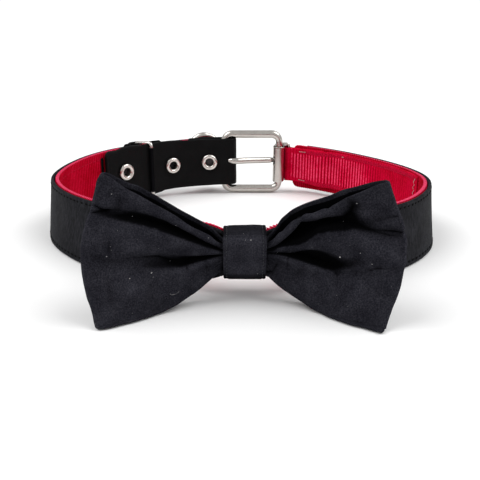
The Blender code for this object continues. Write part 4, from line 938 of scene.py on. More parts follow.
def build_band():
    end = BASE.length - LINING_EXTRA
    s = np.linspace(0.0, end, 420)
    f = band_frames(s, OUTER_THICK / 2)
    mid, v = rows_across(f, OUTER_THICK, 22)
    wave = noise(mid, (9, 9, 9), 3) * 0.10 + noise(mid, (26, 26, 18), 4) * 0.14
    ring_at = BASE.nearest(-9.6, 69.9) + 1.0   # flat where the leash ring's bar turns
    wave = wave * (1 - np.exp(-(((s - ring_at) / 7.0) ** 4)))[:, None]
    mid = mid + np.stack([f[:, 2], f[:, 3], 0 * s], axis=1)[:, None, :] * (wave * (s[:, None] < end))[..., None]
    g = groove(v, f[:, 5], 1.3, 0.20, 0.5)
    # the outward normal of this grid points along the band's outside or inside by its direction
    ob, out, inn, n = ribbon("band_outer_webbing", mid, OUTER_THICK, "outer",
                             front=g, back=0.0)
    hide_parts("band_outer")
    outside = np.sum(n[200, 10, :2] * f[200, 2:4]) > 0
    face = out if outside else inn
    nn = n if outside else -n
    rows = np.argmin(np.abs((1 - np.abs(v)) * 12.5 - 1.3 + (v < 0) * 1e3)), np.argmin(
        np.abs((1 - np.abs(v)) * 12.5 - 1.3 + (v > 0) * 1e3))
    c, t, m = [], [], []
    for k in rows:
        a = seam_points(face[:, k], nn[:, k], 3.1, 1.0, 1.0, 0.25, int(k))
        hub, _ = BASE.at(np.array([ring_at]))
        near_ring = np.hypot(a[0][:, 0] - hub[0, 0], a[0][:, 1] - hub[0, 1]) < 4.5
        c.append(a[0] + a[2] * np.where(near_ring, -0.10, 0.10)[:, None]); t.append(a[1]); m.append(a[2])
    pills("band_stitches", np.concatenate(c), np.concatenate(t), np.concatenate(m), (1.75, 0.92, 0.44),
          "thread_black")
    return outside


def build_lining():
    s = np.linspace(0.0, BASE.length, 1500)
    f = band_frames(s, OUTER_THICK + GAP + LINING_THICK / 2)
    d = np.minimum(BASE.length - s, 3.0)
    f[:, 5] -= 3.0 - np.sqrt(np.maximum(9.0 - (3.0 - d) ** 2, 0.0))
    f[:, 5] = np.maximum(f[:, 5], 1.5)
    mid, v = rows_across(f, LINING_THICK, 18)
    wave = noise(mid, (9, 9, 9), 5) * 0.08
    mid = mid + np.stack([f[:, 2], f[:, 3], 0 * s], axis=1)[:, None, :] * wave[..., None]
    ribs = 0.13 * np.abs(np.sin(math.pi * s / 1.25))[:, None] * np.ones_like(v)[None, :]
    ribs = ribs * (0.75 + 0.35 * noise(mid, (1.2, 1.2, 6.0), 8))
    knobs = 0.10 * np.sin(2 * math.pi * s / 1.25)[:, None] * np.clip((np.abs(v)[None, :] - 0.86) / 0.14, 0, 1)
    g = groove(v, f[:, 5], 2.4, 0.22, 0.45)
    ob, a, b, n = ribbon("band_lining_webbing", mid, LINING_THICK - 0.2, "lining",
                         front=ribs + knobs + g - 0.05, back=ribs + knobs + g - 0.05)
    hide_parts("band_lining")
    outside = np.sum(n[700, 9, :2] * f[700, 2:4]) > 0
    face, nn = (b, -n) if outside else (a, n)
    c, t, m = [], [], []
    for sign in (1, -1):
        k = int(np.argmin(np.abs(v * sign - (1 - 2.4 / 12.5))))
        q = seam_points(face[::3, k], nn[::3, k], 2.9, 1.0, 4.0, 0.25, 40 + sign)
        c.append(q[0]); t.append(q[1]); m.append(q[2])
    pills("lining_stitches", np.concatenate(c), np.concatenate(t), np.concatenate(m), (2.1, 0.5, 0.36),
          "thread_red")
    # the woven edge: slanting turns of the yarn along both rims, in a lighter rose as painted highlight
    c, t, m = [], [], []
    for k, sign in ((-1, 1.0), (0, -1.0)):
        edge = mid[::2, k]
        q = seam_points(edge, np.tile([0.0, 0.0, 1.0], (len(edge), 1)), 1.25, 0.6, 1.2, 0.12, 46 + k)
        c.append(q[0] + np.array([0, 0, sign * (LINING_THICK / 2 - 0.16)]))
        t.append(unit(q[1] + 0.9 * unit(np.cross(q[1], [0.0, 0.0, 1.0]))))
        m.append(q[2] * 0 + np.array([0.0, 0.0, sign]))
    pills("lining_selvedge", np.concatenate(c), np.concatenate(t), np.concatenate(m), (2.2, 0.62, 0.42),
          "thread_rose_painted_highlight")


# ---------------------------------------------------------------- the coated strap
def strap_plan():
    lie = LINING_FACE + STRAP_STANDOFF + STRAP_THICK / 2
    leg = LINING_FACE + GAP + STRAP_THICK / 2
    tip_s, rear_s = BASE.nearest(-71.0, 30.6), BASE.nearest(-37.0, 58.0)
    r = FRAME_R + GAP + STRAP_THICK / 2
    p, n = BASE.at(np.linspace(tip_s, rear_s, 9))
    pts = list(p[:, :2] - n * lie)
    pts += [(-14.5, FRAME_Y - r - 0.1), (-8.5, FRAME_Y - r), (FOLD_X, FRAME_Y - r)]
    inner = Spline([(x, y, 0, 0, 0) for x, y in pts])
    turn = [(FOLD_X + r * math.sin(a), FRAME_Y - r * math.cos(a)) for a in np.radians(np.arange(7.5, 180, 7.5))]
    start = BASE.nearest(-6.5, 70.2)
    p, n = BASE.at(np.linspace(start + 1.5, start + OUTER_LEG, 7))
    rear = [(FOLD_X, FRAME_Y + r)] + list(p[:, :2] - n * leg)
    return inner, turn, rear


def build_strap():
    inner, turn, rear = strap_plan()
    runs = np.unique(np.concatenate([np.linspace(0, 3.2, 14), np.linspace(3.2, inner.length, 150)]))
    line, _ = inner.at(runs)
    zc = np.interp(runs, *zip(*STRAP_RISE))
    half = np.full(len(runs), STRAP_WIDTH / 2)
    d = np.minimum(runs, STRAP_TIP_R)
    half -= STRAP_TIP_R - np.sqrt(np.maximum(STRAP_TIP_R**2 - (STRAP_TIP_R - d) ** 2, 0))
    rear_curve = smooth_curve(rear, 40)
    pts = np.concatenate([line[:, :2], np.array(turn), rear_curve])
    zc = np.concatenate([zc, np.full(len(turn) + 40, 18.2)])
    half = np.concatenate([half, np.full(len(turn) + 40, STRAP_WIDTH / 2)])
    # the strap's lower edge hangs a little lower just right of the keeper
    f = plan_frames(pts, zc, half)
    mid, v = rows_across(f, STRAP_THICK, 26)
    run = np.concatenate([[0], np.cumsum(np.linalg.norm(np.diff(pts, axis=0), axis=1))])
    sag = np.interp(run, [0, 23.5, 24.5, 27.5, 33.5, 36.0, 200], [0, 0, 1.0, 1.0, 0.7, 0.0, 0])
    mid[..., 2] -= sag[:, None] * np.clip(-v, 0, 1)[None, :] ** 3
    rise = np.interp(run, [0, 3, 7, 10, 15, 22.6, 24.2, 30, 33, 42, 48, 60, 68, 200],
                     [-0.3, -0.6, -0.5, 0.6, 1.3, 1.4, 1.8, 1.6, 1.8, 1.5, 1.0, 0.9, 0.4, 0])
    mid[..., 2] += rise[:, None] * np.clip(v, 0, 1)[None, :] ** 3
    # pressed groove under the keeper's inner bar
    g = -0.35 * np.exp(-(((run - 23.2) / 1.1) ** 2))[:, None] * np.ones_like(v)[None, :]
    # creased edge near the tip: a line 1.3 mm in from the end and from both edges
    dist = np.minimum(run[:, None], (half[:, None] * (1 - np.abs(v)[None, :])))
    crease = -0.13 * np.exp(-(((dist - 1.35) / 0.35) ** 2)) * np.clip((23 - run) / 3, 0, 1)[:, None]
    puff = 0.16 * np.exp(-(((dist - 0.55) / 0.5) ** 2)) * np.clip((24 - run) / 3, 0, 1)[:, None]
    soft = 0.10 * noise(mid, (8, 8, 8), 12) + 0.05 * noise(mid, (3, 3, 3), 13)
    # a slight pucker round each eyelet
    eyes = 0.0
    for along in EYELET_PITCH:
        z0 = np.interp(along, *zip(*STRAP_RISE)) + EYELET_RISE
        rr = np.hypot(run[:, None] - along, mid[..., 2] - z0)
        eyes = eyes - 0.30 * np.exp(-(((rr - 3.2) / 2.1) ** 2)) + 0.14 * np.exp(-(((rr - 6.6) / 1.6) ** 2))
    shape = g + crease + puff + soft + eyes
    # a thin black sheet laid on the red webbing beside the tip: painted shade in the gap by the strap
    tip, _ = inner.at(np.array([0.0, 6.0]))
    s0, s1 = BASE.nearest(*tip[0, :2]), BASE.nearest(*tip[1, :2])
    gap = band_frames(s0 + (-1.0 if s1 > s0 else 1.0) * np.linspace(0.30, 1.90, 6),
                      OUTER_THICK + GAP + LINING_THICK + 0.22)
    gap[:, 4] += 0.5
    gap[:, 5] = 9.3
    ribbon("lining_gap_shade", rows_across(gap, 0.1, 18)[0], 0.1, "strap")
    ob, a, b, n = ribbon("coated_strap", mid, STRAP_THICK - 0.2, "strap",
                         front=shape, back=0.03 * noise(mid, (4, 4, 4), 14))
    # holes for the eyelets
    bm = bmesh.new()
    mats = []
    for along in EYELET_PITCH:
        p, n2 = inner.at(along)
        height = float(np.interp(along, *zip(*STRAP_RISE))) + EYELET_RISE
        out = Vector((-n2[0][0], -n2[0][1], 0.0))
        if out.y < 0:
            out = -out
        rot = Vector((0, 0, 1)).rotation_difference(-out).to_matrix().to_4x4()
        at = Matrix.Translation(Vector((p[0][0], p[0][1], height))) @ rot
        mats.append(at)
        w = Matrix.Translation(Vector(world((p[0][0], p[0][1], height)))) @ rot
        bmesh.ops.create_cone(bm, cap_ends=True, segments=40, radius1=STRAP_HOLE_R * MM,
                              radius2=STRAP_HOLE_R * MM, depth=3.6 * MM, matrix=w)
    me = bpy.data.meshes.new("strap_holes")
    bm.to_mesh(me)
    bm.free()
    cutter = bpy.data.objects.new("strap_holes", me)
    SCENE.collection.objects.link(cutter)
    cut = ob.modifiers.new("holes", "BOOLEAN")
    cut.operation = "DIFFERENCE"
    cut.object = cutter
    apply_modifiers(ob)
    bpy.data.objects.remove(cutter)
    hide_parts("tail_strap")
    face = a if np.mean(a[60:100, 12, 1]) < np.mean(b[60:100, 12, 1]) else b
    nn = n if face is a else -n
    # sewn line round the tip
    k_top = int(np.argmin(np.abs((1 - v) * 13 - 1.35)))
    k_low = int(np.argmin(np.abs((1 + v) * 13 - 1.35)))
    i0 = int(np.argmin(np.abs(run - 1.5)))
    i1 = int(np.argmin(np.abs(run - 22.0)))
    line = np.concatenate([face[i0:i1, k_top][::-1], face[i0, k_low + 1:k_top][::-1], face[i0:i1, k_low]])
    norm = np.concatenate([nn[i0:i1, k_top][::-1], nn[i0, k_low + 1:k_top][::-1], nn[i0:i1, k_low]])
    c, t, m = seam_points(line, norm, 2.3, 0.5, 0.5, 0.15, 5)
    pills("strap_stitches", c - m * 0.06, t, m, (1.3, 0.36, 0.24), "thread_black")
    return mats


def apply_modifiers(ob):
    bpy.context.view_layer.update()
    dep = bpy.context.evaluated_depsgraph_get()
    me = bpy.data.meshes.new_from_object(ob.evaluated_get(dep), preserve_all_data_layers=True, depsgraph=dep)
    old = ob.data
    ob.modifiers.clear()
    ob.data = me
    bpy.data.meshes.remove(old)


def build_eyelets(mats):
    face = STRAP_THICK / 2 + EYELET_GAP
    lo = face - 0.42
    # a rolled ring: its dome, the throat and the rear flange
    dome = []
    for a in np.radians(np.linspace(0, 180, 15)):
        r = (EYELET_FLANGE_R + EYELET_HOLE_R) / 2 + (EYELET_FLANGE_R - EYELET_HOLE_R) / 2 * math.cos(a)
        dome.append((r, lo + 0.18 + 1.32 * math.sin(a) ** 0.85))
    profile = [(EYELET_BARREL_R + 0.06, lo)] + [(EYELET_FLANGE_R - 0.22, lo), (EYELET_FLANGE_R - 0.04, lo + 0.06)] + dome
    profile += [(EYELET_HOLE_R, 0.0), (EYELET_HOLE_R, -face - 0.3), (EYELET_HOLE_R + 0.1, -face - 0.4),
                (3.55, -face - 0.4), (3.7, -face - 0.2), (3.55, -face + 0.02), (EYELET_BARREL_R, -face + 0.02),
                (EYELET_BARREL_R, 0.0)]
    for k, at in enumerate(mats):
        ob = lathe(f"eyelet_ring_{k + 1}", profile, at, "nickel_ring")
        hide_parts(f"eyelet_{k + 1}")
        # a disc closing each hole: painted shade seen through it, in a different grey for each hole as painted light
        lathe(f"eyelet_hole_painted_shade_{k + 1}", [(0.02, -1.42), (1.2, -1.40), (2.36, -1.36), (2.36, -1.66), (1.2, -1.70), (0.02, -1.72)],
              at, ("thread_light", "thread_grey", "hole_painted_light_grey")[k])


# ---------------------------------------------------------------- buckle
def rounded_rectangle(w, h, r, per_corner=10, per_side=10):
    out = []
    for cx, cy, a0 in ((1, -1, -90), (1, 1, 0), (-1, 1, 90), (-1, -1, 180)):
        for k in range(per_corner + 1):
            a = math.radians(a0 + 90 * k / per_corner)
            out.append((cx * (w / 2 - r) + r * math.cos(a), cy * (h / 2 - r) + r * math.sin(a)))
    dense = []
    n = len(out)
    for i in range(n):
        a, b = np.array(out[i]), np.array(out[(i + 1) % n])
        m = max(1, int(np.linalg.norm(b - a) / 1.6))
        dense += [tuple(a + (b - a) * k / m) for k in range(m)]
    return dense


def hull_outline(circles, steps=72):
    pts = []
    for x, y, r in circles:
        for k in range(steps):
            a = 2 * math.pi * k / steps
            pts.append((x + r * math.cos(a), y + r * math.sin(a)))
    pts = sorted(set(pts))

    def half(points):
        out = []
        for p in points:
            while len(out) > 1:
                (ax, ay), (bx, by) = out[-2], out[-1]
                if (bx - ax) * (p[1] - ay) - (by - ay) * (p[0] - ax) > 1e-9:
                    break
                out.pop()
            out.append(p)
        return out[:-1]

    return half(pts) + half(pts[::-1])


def build_buckle():
    zc = FRAME_H / 2
    path = [(FRAME_X + x, FRAME_Y, zc + z) for x, z in rounded_rectangle(
        FRAME_W - 2 * FRAME_R, FRAME_H - 2 * FRAME_R, FRAME_CORNER - FRAME_R)]
    radii = [1.0 - (1 - HEEL_SCALE) * min(1, max(0, (x - HEEL_X + 1.6) / 1.3)) for x, _, _ in path]
    ob = sweep("buckle_wire", path, FRAME_R, "nickel", closed=True, radii=radii, sides=28)
    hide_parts("buckle_frame")

    # the sheet sleeve: outline round the heel bar and the ring's near bar, rounded at both ends
    heel = (HEEL_X - 0.2, FRAME_Y - 0.3, FRAME_R * HEEL_SCALE + 0.5)
    near = (RING_NEAR[0] + 0.7, RING_NEAR[1], RING_R + 0.35)

    def outline(grow, n=120):
        loop = hull_outline([(x, y, r + grow) for x, y, r in (heel, near)])
        loop = np.array(loop + loop[:1])
        run = np.concatenate([[0], np.cumsum(np.linalg.norm(np.diff(loop, axis=0), axis=1))])
        at = np.linspace(0, run[-1], n, endpoint=False)
        return np.stack([np.interp(at, run, loop[:, k]) for k in range(2)], axis=1)

    mid2 = outline(GAP + 0.225)
    rows = 27
    z = 16.6 + np.linspace(-1, 1, rows) * (10.0 - 0.22)
    grow = 0.10 * (np.abs(np.linspace(-1, 1, rows)) ** 8)
    grid = np.zeros((len(mid2), rows, 3))
    centre = mid2.mean(axis=0)
    for j in range(rows):
        out = unit(mid2 - centre)
        grid[:, j, :2] = mid2 + out * grow[j] * 0.5
        grid[:, j, 2] = z[j]
    ob, _, _, _ = ribbon("buckle_sleeve_sheet", grid, 0.45, "nickel", closed=True, rim=5)
    cutter = box_cutter("slot_cutter", (20.9, 61.4, 18.9), (4.4, 4.4, 4.6))
    cut = ob.modifiers.new("slot", "BOOLEAN")
    cut.operation = "DIFFERENCE"
    cut.object = cutter
    apply_modifiers(ob)
    bpy.data.objects.remove(cutter)
    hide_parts("buckle_sleeve")

    face = FRAME_Y - (FRAME_R + GAP + STRAP_THICK) - GAP - TONGUE_R
    rows = [
        (HEEL_X - FRAME_R * HEEL_SCALE - GAP + 0.5, FRAME_Y, 18.9, 0.60), (21.3, FRAME_Y - 0.1, 18.9, 0.74),
        (19.8, FRAME_Y - 0.4, 18.9, 0.94), (15.0, FRAME_Y - 1.6, 19.0, 0.98), (10.0, FRAME_Y - 3.1, 19.2, 0.98),
        (5.0, FRAME_Y - 4.8, 19.4, 1.00), (1.5, face - 0.05, 19.5, 1.00), (-1.0, face, 19.6, 0.96),
        (-2.2, face + 0.08, 19.7, 0.84), (-2.9, face + 0.16, 19.7, 0.66),
    ]
    curve = smooth_curve(rows, 70)
    ob = sweep("buckle_pin", curve[:, :3], TONGUE_R, "nickel", radii=curve[:, 3], sides=26)
    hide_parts("buckle_tongue")

    mid = [(a + b) / 2 for a, b in zip(RING_NEAR, RING_FAR)]
    run = math.dist(RING_NEAR, RING_FAR)
    ux, uy = ((b - a) / run for a, b in zip(RING_NEAR, RING_FAR))
    low, high = RING_Z[0] + 1.5, RING_Z[1]
    path = [(mid[0] + ux * a, mid[1] + uy * a, (low + high) / 2 + q)
            for a, q in rounded_rectangle(run, high - low, 1.5, 8)]
    ob = sweep("tab_ring_wire", path, RING_R, "nickel", closed=True, sides=18)
    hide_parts("tab_ring")


def box_cutter(name, centre, size):
    bm = bmesh.new()
    bmesh.ops.create_cube(bm, size=MM, matrix=Matrix.Translation(Vector(world(centre)))
                          @ Matrix.Diagonal((*size, 1.0)))
    me = bpy.data.meshes.new(name)
    bm.to_mesh(me)
    bm.free()
    ob = bpy.data.objects.new(name, me)
    SCENE.collection.objects.link(ob)
    return ob


# ---------------------------------------------------------------- the red tab
def build_tab():
    r = RING_R + GAP + TAB_THICK / 2
    end = BASE.length
    lie = LINING_FACE + GAP + TAB_THICK / 2
    cx, cy = RING_FAR
    p, n = BASE.at(np.linspace(end - TAB_LENGTH - 12.5, end - TAB_LEG - 8.0, 13))
    close = np.interp(np.arange(13), [0, 2, 9, 12], [0.75, 0.35, 0.30, 0.0])[:, None]
    pts = list(p[:, :2] - n * (lie - close))
    step = lie + TAB_THICK + GAP + 0.2
    p, n = BASE.at(np.linspace(end - TAB_LEG - 1.0, end - 6.0, 3))
    pts += list(p[:, :2] - n * step)
    inner_leg = Spline([(x, y, 0, 0, 0) for x, y in pts + [(cx + 0.3, cy - r)]])
    line, _ = inner_leg.at(np.linspace(0, inner_leg.length, 372))
    turn = [(cx - r * math.sin(a), cy - r * math.cos(a)) for a in np.radians(np.arange(6, 180, 6))]
    p, n = BASE.at(np.linspace(end - 3.0, end - TAB_LEG, 5))
    rear = smooth_curve([(cx + 0.2, cy + r)] + list(p[:, :2] - n * lie), 70)
    pts = np.concatenate([line[:, :2], np.array(turn), rear])
    zc = np.interp(pts[:, 0], [31.0, 45.0, 70.0, 90.0], [16.2, 15.2, 14.7, 14.2])
    f = plan_frames(pts, zc, TAB_WIDTH / 2)
    f[:, 5] += np.interp(pts[:, 0], [36.0, 48.0, 80.0], [0.0, 0.7, 1.0])
    mid, v = rows_across(f, TAB_THICK, 30)
    run = np.concatenate([[0], np.cumsum(np.linalg.norm(np.diff(pts, axis=0), axis=1))])
    total = inner_leg.length
    # broad ribs along the sewn leg, finer ones where the tape bends over the wire
    strength = np.interp(run, [0, 6, 28, 46, total - 13, total - 9, total, total + 30],
                         [0.12, 0.15, 0.25, 1.0, 1.1, 0.45, 0.30, 0.30])
    pitch_phase = np.where(run < total - 11, run / 1.8, (total - 11) / 1.8 + (run - total + 11) / 1.35)
    rib = np.abs(np.sin(math.pi * pitch_phase)) ** 0.8
    shade = 0.9 + 0.45 * noise(mid, (2.2, 2.2, 30.0), 21) + 0.25 * noise(mid, (0.9, 0.9, 1.0), 22)
    ribs = 0.36 * (strength * rib)[:, None] * shade
    edge = np.clip((np.abs(v) - 0.74) / 0.10, 0, 1)[None, :]
    ribs = ribs * (1 - 0.85 * edge)
    g = groove(v, f[:, 5], 1.5, 0.22, 0.4)
    wave = 0.10 * noise(mid, (6, 6, 6), 23)
    thin = np.interp(run, [0, 5.0], [0.30, TAB_THICK - 0.36])[:, None] * np.ones_like(v)[None, :]
    ob, a, b, n = ribbon("buckle_tab_webbing", mid, thin, "tab",
                         front=ribs + g + wave, back=0.4 * ribs + 0.02)
    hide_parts("buckle_tab")
    face, nn = (a, n) if a[100, 10, 1] < b[100, 10, 1] else (b, -n)
    c, t, m = [], [], []
    for sign in (1, -1):
        k = int(np.argmin(np.abs(v * sign - (1 - 1.5 / 9.65))))
        q = seam_points(face[4:352:3, k], nn[4:352:3, k], 2.7, 0.6, 1.0, 0.3, 60 + sign)
        c.append(q[0] - q[2] * 0.02); t.append(q[1]); m.append(q[2])
    q = seam_points(face[10, 3:27], nn[10, 3:27], 1.35, 0.4, 0.4, 0.1, 78)
    ahead = unit(face[16, 10:11] - face[10, 10:11])
    lean = np.where(np.arange(len(q[0])) % 2, 1.0, -1.0)[:, None]
    pale = (q[0] + ahead * lean * 0.35, unit(q[1] + ahead * lean * 0.6), q[2])
    q = seam_points(face[340, 3:27], nn[340, 3:27], 2.7, 0.4, 0.4, 0.2, 370)
    c.append(q[0] - q[2] * 0.02); t.append(q[1]); m.append(q[2])
    pills("tab_stitches", np.concatenate(c), np.concatenate(t), np.concatenate(m), (2.2, 0.5, 0.42),
          "thread_red")
    # slanting turns of yarn along the tape's two edges
    c, t, m = [], [], []
    for sign, row, lean in ((1, 0.95, 0.9), (1, 0.83, -0.9), (-1, 0.95, 0.9), (-1, 0.83, -0.9)):
        k = int(np.argmin(np.abs(v * sign - row)))
        q = seam_points(face[2:340:3, k], nn[2:340:3, k], 1.25, 0.4, 0.6, 0.15, 64 + sign)
        c.append(q[0] + q[2] * 0.02); m.append(q[2])
        t.append(unit(q[1] + lean * unit(np.cross(q[1], q[2]))))
    pills("tab_selvedge", np.concatenate(c), np.concatenate(t), np.concatenate(m), (1.7, 0.62, 0.42),
          "thread_edge")
    # the turn of the tape between the sleeve and the ring's far bar in a darker copy of the red webbing, painted shade,
    # and a black strip beside it, painted shadow
    zs = np.linspace(7.0, 26.4, 40)
    for name, pts2, thick2, mat2 in (("tab_turn_shaded", [(27.3, 64.9), (28.3, 64.5), (29.5, 64.6)], 0.7, "tab_painted_shade"),
                                     ("tab_turn_painted_shadow", [(29.3, 64.9), (30.1, 64.7), (31.0, 64.9)], 0.6, "strap")):
        plan = smooth_curve(pts2, 16)
        grid = np.zeros((16, len(zs), 3))
        grid[..., :2] = plan[:, None, :]
        grid[..., 2] = zs[None, :]
        ribbon(name, grid, thick2, mat2)
    # pale thread: the row across the tab's end and three short bars near the buckle
    c, t, m = [pale[0] + pale[2] * 0.15], [pale[1]], [pale[2]]
    run_face = run
    for back_from_fold, sign, count in ((9.0, 1, 3), (9.0, -1, 3), (33.0, 1, 1)):
        k = int(np.argmin(np.abs(v * sign - (1 - 1.2 / 9.65))))
        at = total - back_from_fold
        for q in range(count):
            i = int(np.argmin(np.abs(run_face - at - q * 1.35)))
            c.append(face[i:i + 1, k] + nn[i:i + 1, k] * 0.2)
            t.append(unit(face[i + 2:i + 3, k] - face[i - 2:i - 1, k]))
            m.append(nn[i:i + 1, k])
    pills("tab_pale_stitches", np.concatenate(c), np.concatenate(t), np.concatenate(m), (1.5, 0.38, 0.34),
          "thread_pale")


# ---------------------------------------------------------------- tabs over wires
def arch_tab(name, node, s_mid, length, height, zc, rise, material, thick=1.4, ahead=0.0):
    t = np.linspace(0, 1, 70)
    run = -length / 2 - ahead + t * (length + ahead)
    hump = np.exp(-((run / (0.9 + rise * 0.9)) ** 4) * 0.8)
    p, n = BASE.at(s_mid + run)
    off = (GAP + thick / 2) + rise * hump
    pts = p[:, :2] + n * off[:, None]
    f = plan_frames(pts, zc, height / 2)
    d = np.minimum(np.minimum(run - run[0], run[-1] - run), 1.6)
    f[:, 5] -= 1.6 - np.sqrt(np.maximum(1.6**2 - (1.6 - d) ** 2, 0))
    mid, v = rows_across(f, thick, 20)
    g = groove(v, f[:, 5], 1.6, 0.14, 0.35)
    soft = 0.06 * noise(mid, (4, 4, 4), 31)
    ob, a, b, nn = ribbon(name, mid, thick - 0.1, material, front=g + soft, back=0.0)
    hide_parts(node)
    outward = np.array([n[35][0], n[35][1], 0])
    face, nn = (a, nn) if nn[35, 10] @ outward > 0 else (b, -nn)
    c, tt, m = [], [], []
    for sign in (1, -1):
        k = int(np.argmin(np.abs(v * sign - (1 - 1.6 / (height / 2)))))
        q = seam_points(face[5:-5, k], nn[5:-5, k], 2.3, 0.4, 0.4, 0.1, 80)
        c.append(q[0]); tt.append(q[1]); m.append(q[2])
    for i in (8, -9):
        q = seam_points(face[i, 3:-3], nn[i, 3:-3], 2.3, 0.4, 0.4, 0.1, 81)
        c.append(q[0]); tt.append(q[1]); m.append(q[2])
    pills(name + "_stitches", np.concatenate(c), np.concatenate(tt), np.concatenate(m), (1.6, 0.42, 0.3),
          "thread_grey")


def build_keeper():
    s = BASE.nearest(-49.0, 49.5)
    p, n = BASE.at(s)
    p, n = p[0], n[0]
    out = GAP + KEEPER_R + KEEPER_SLACK
    inn = LINING_FACE + STRAP_STANDOFF + STRAP_THICK + GAP + KEEPER_R
    z0, z1 = 2.0, 31.5
    mid = (p[0] - n[0] * (inn - out) / 2, p[1] - n[1] * (inn - out) / 2)
    lean = 3.4                                 # its outer bar stands this much further round the loop
    side = np.array([-n[1], n[0]])
    side = side * (1.0 if side[0] < 0 else -1.0)
    w = out + inn
    path = [(mid[0] + n[0] * a + side[0] * lean * (a / w + 0.5), mid[1] + n[1] * a + side[1] * lean * (a / w + 0.5),
             (z0 + z1) / 2 + z - 0.9 * (a / w + 0.5) * (z > 0)) for a, z in rounded_rectangle(w, z1 - z0, 1.8, 8)]
    ob = sweep("keeper_loop", path, KEEPER_R + 0.12, "nickel_keeper", closed=True, sides=18)
    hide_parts("keeper_wire")
    arch_tab("keeper_tab_leather", "keeper_tab", s + lean, 17.0, 26.2, 17.9, 2 * KEEPER_R + KEEPER_SLACK + GAP,
             "strap", ahead=6.0)


def build_d_ring():
    s = BASE.nearest(-9.6, 69.9) + 1.0
    p, n = BASE.at(s)
    p, n = p[0], n[0]
    t = (-n[1], n[0])
    if t[0] > 0:
        t = (-t[0], -t[1])
    off = GAP + D_WIRE_R
    at = (p[0] + n[0] * off, p[1] + n[1] * off, 18.0)
    h = D_HEIGHT / 2
    rows = [
        (0.0, -0.62), (0.0, -0.2), (0.0, 0.2), (0.0, 0.62), (0.035, 0.80), (0.13, 0.93), (0.30, 0.995),
        (0.44, 1.0), (0.58, 0.95), (0.72, 0.83), (0.85, 0.62), (0.95, 0.35), (1.0, 0.0), (0.95, -0.35),
        (0.85, -0.62), (0.72, -0.83), (0.58, -0.95), (0.44, -1.0), (0.30, -0.995), (0.13, -0.93),
        (0.035, -0.80),
    ]
    path = [(at[0] + t[0] * a * D_DEPTH, at[1] + t[1] * a * D_DEPTH, at[2] + u * h) for a, u in rows]
    wire = smooth_curve(path, 140, closed=True)
    # the straight bar is a little thinner, and turns in its webbing clear of the band
    d = np.clip(((wire[:, :2] - at[:2]) @ np.array(t) - 3.0) / 5.0, 0, 1)
    ob = sweep("leash_ring_wire", wire, 1.0, "nickel", closed=True, sides=24, body=RING_BODY,
               radii=D_WIRE_R - 0.10 + 0.45 * d * d * (3 - 2 * d))
    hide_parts("d_ring")
    arch_tab("ring_tab_webbing", "d_ring_tab", s, 12.5, 16.0, 18.0, 2 * D_WIRE_R + 2 * GAP, "outer")


# ---------------------------------------------------------------- the bow
def along_line(points, n_at):
    """Points at shares n_at (0 to 1) of the length of a smooth curve through points."""
    c = smooth_curve(points, 400)
    run = np.concatenate([[0], np.cumsum(np.linalg.norm(np.diff(c, axis=0), axis=1))])
    run /= run[-1]
    return np.stack([np.interp(n_at, run, c[:, k]) for k in range(c.shape[1])], axis=1)


def coons(bottom, top, inner, outer):
    """A patch (along, across, k) between four edge curves of points."""
    nu, nv = len(bottom), len(inner)
    u = np.linspace(0, 1, nu)[:, None, None]
    v = np.linspace(0, 1, nv)[None, :, None]
    a = (1 - v) * bottom[:, None] + v * top[:, None]
    b = (1 - u) * inner[None] + u * outer[None]
    c = ((1 - u) * (1 - v) * bottom[0] + (1 - u) * v * top[0]
         + u * (1 - v) * bottom[-1] + u * v * top[-1])
    return a + b - c


def polyline_field(x, z, rows, power=1.6):
    """Height field of one fold line: rows are (x, z, size, width above, width below)."""
    r = np.array(rows, float)
    best = np.full(x.shape, 1e9)
    out = np.zeros(x.shape)
    for a, b in zip(r[:-1], r[1:]):
        d = b[:2] - a[:2]
        ln = float(d @ d)
        t = np.clip(((x - a[0]) * d[0] + (z - a[1]) * d[1]) / ln, 0, 1)
        px, pz = x - (a[0] + t * d[0]), z - (a[1] + t * d[1])
        dist = np.hypot(px, pz)
        nx, nz = -d[1], d[0]
        if nz < 0 or (abs(nz) < 0.3 * abs(nx) and nx < 0):
            nx, nz = -nx, -nz
        above = (px * nx + pz * nz) > 0
        size = a[2] + (b[2] - a[2]) * t
        width = np.where(above, a[3] + (b[3] - a[3]) * t, a[4] + (b[4] - a[4]) * t)
        val = size * np.exp(-((dist / width) ** power))
        near = dist < best
        out = np.where(near, val, out)
        best = np.where(near, dist, best)
    return out


def pocket_field(x, z, rows):
    """Depth of a fold pressed in between two lines, and the rise of the lips on both sides."""
    r = np.array(sorted(rows), float)
    low, high, depth, soft, fill = (np.interp(x, r[:, 0], r[:, k]) for k in (1, 2, 3, 4, 5))
    depth = np.where((x < r[0, 0]) | (x > r[-1, 0]), 0.0, depth)
    body = np.clip((high - z) / np.maximum(high - low, 0.1), 0, 1) ** fill
    edge = 1 / (1 + np.exp(-np.clip((z - low) / (0.45 * soft), -30, 30)))
    share = np.clip(depth / 4.0, 0, 1)
    lips = share * (0.55 * np.exp(-(((z - high - 0.9) / 0.9) ** 2)) * np.clip(1.4 - fill, 0, 1)
                    + 0.55 * np.exp(-(((z - low + 1.1) / 1.0) ** 2)))
    return depth * body * edge, lips


def plane_y(x, z, w):
    y0, low, high, top = w["front_y"]
    s = np.clip(w["sign"] * (x - w["knot_x"]) / w["reach"], -0.2, 1.3)
    outer = low + (high - low) * np.clip(z / top, 0, 1.05)
    return y0 + (outer - y0) * s, s


def band_face(x):
    """y of the band's outer face near the front, for a given x."""
    p = BASE.raw(np.linspace(0, BASE.t[-1], 3000))
    keep = p[p[:, 1] < -40]
    order = np.argsort(keep[:, 0])
    return np.interp(x, keep[order, 0], keep[order, 1])


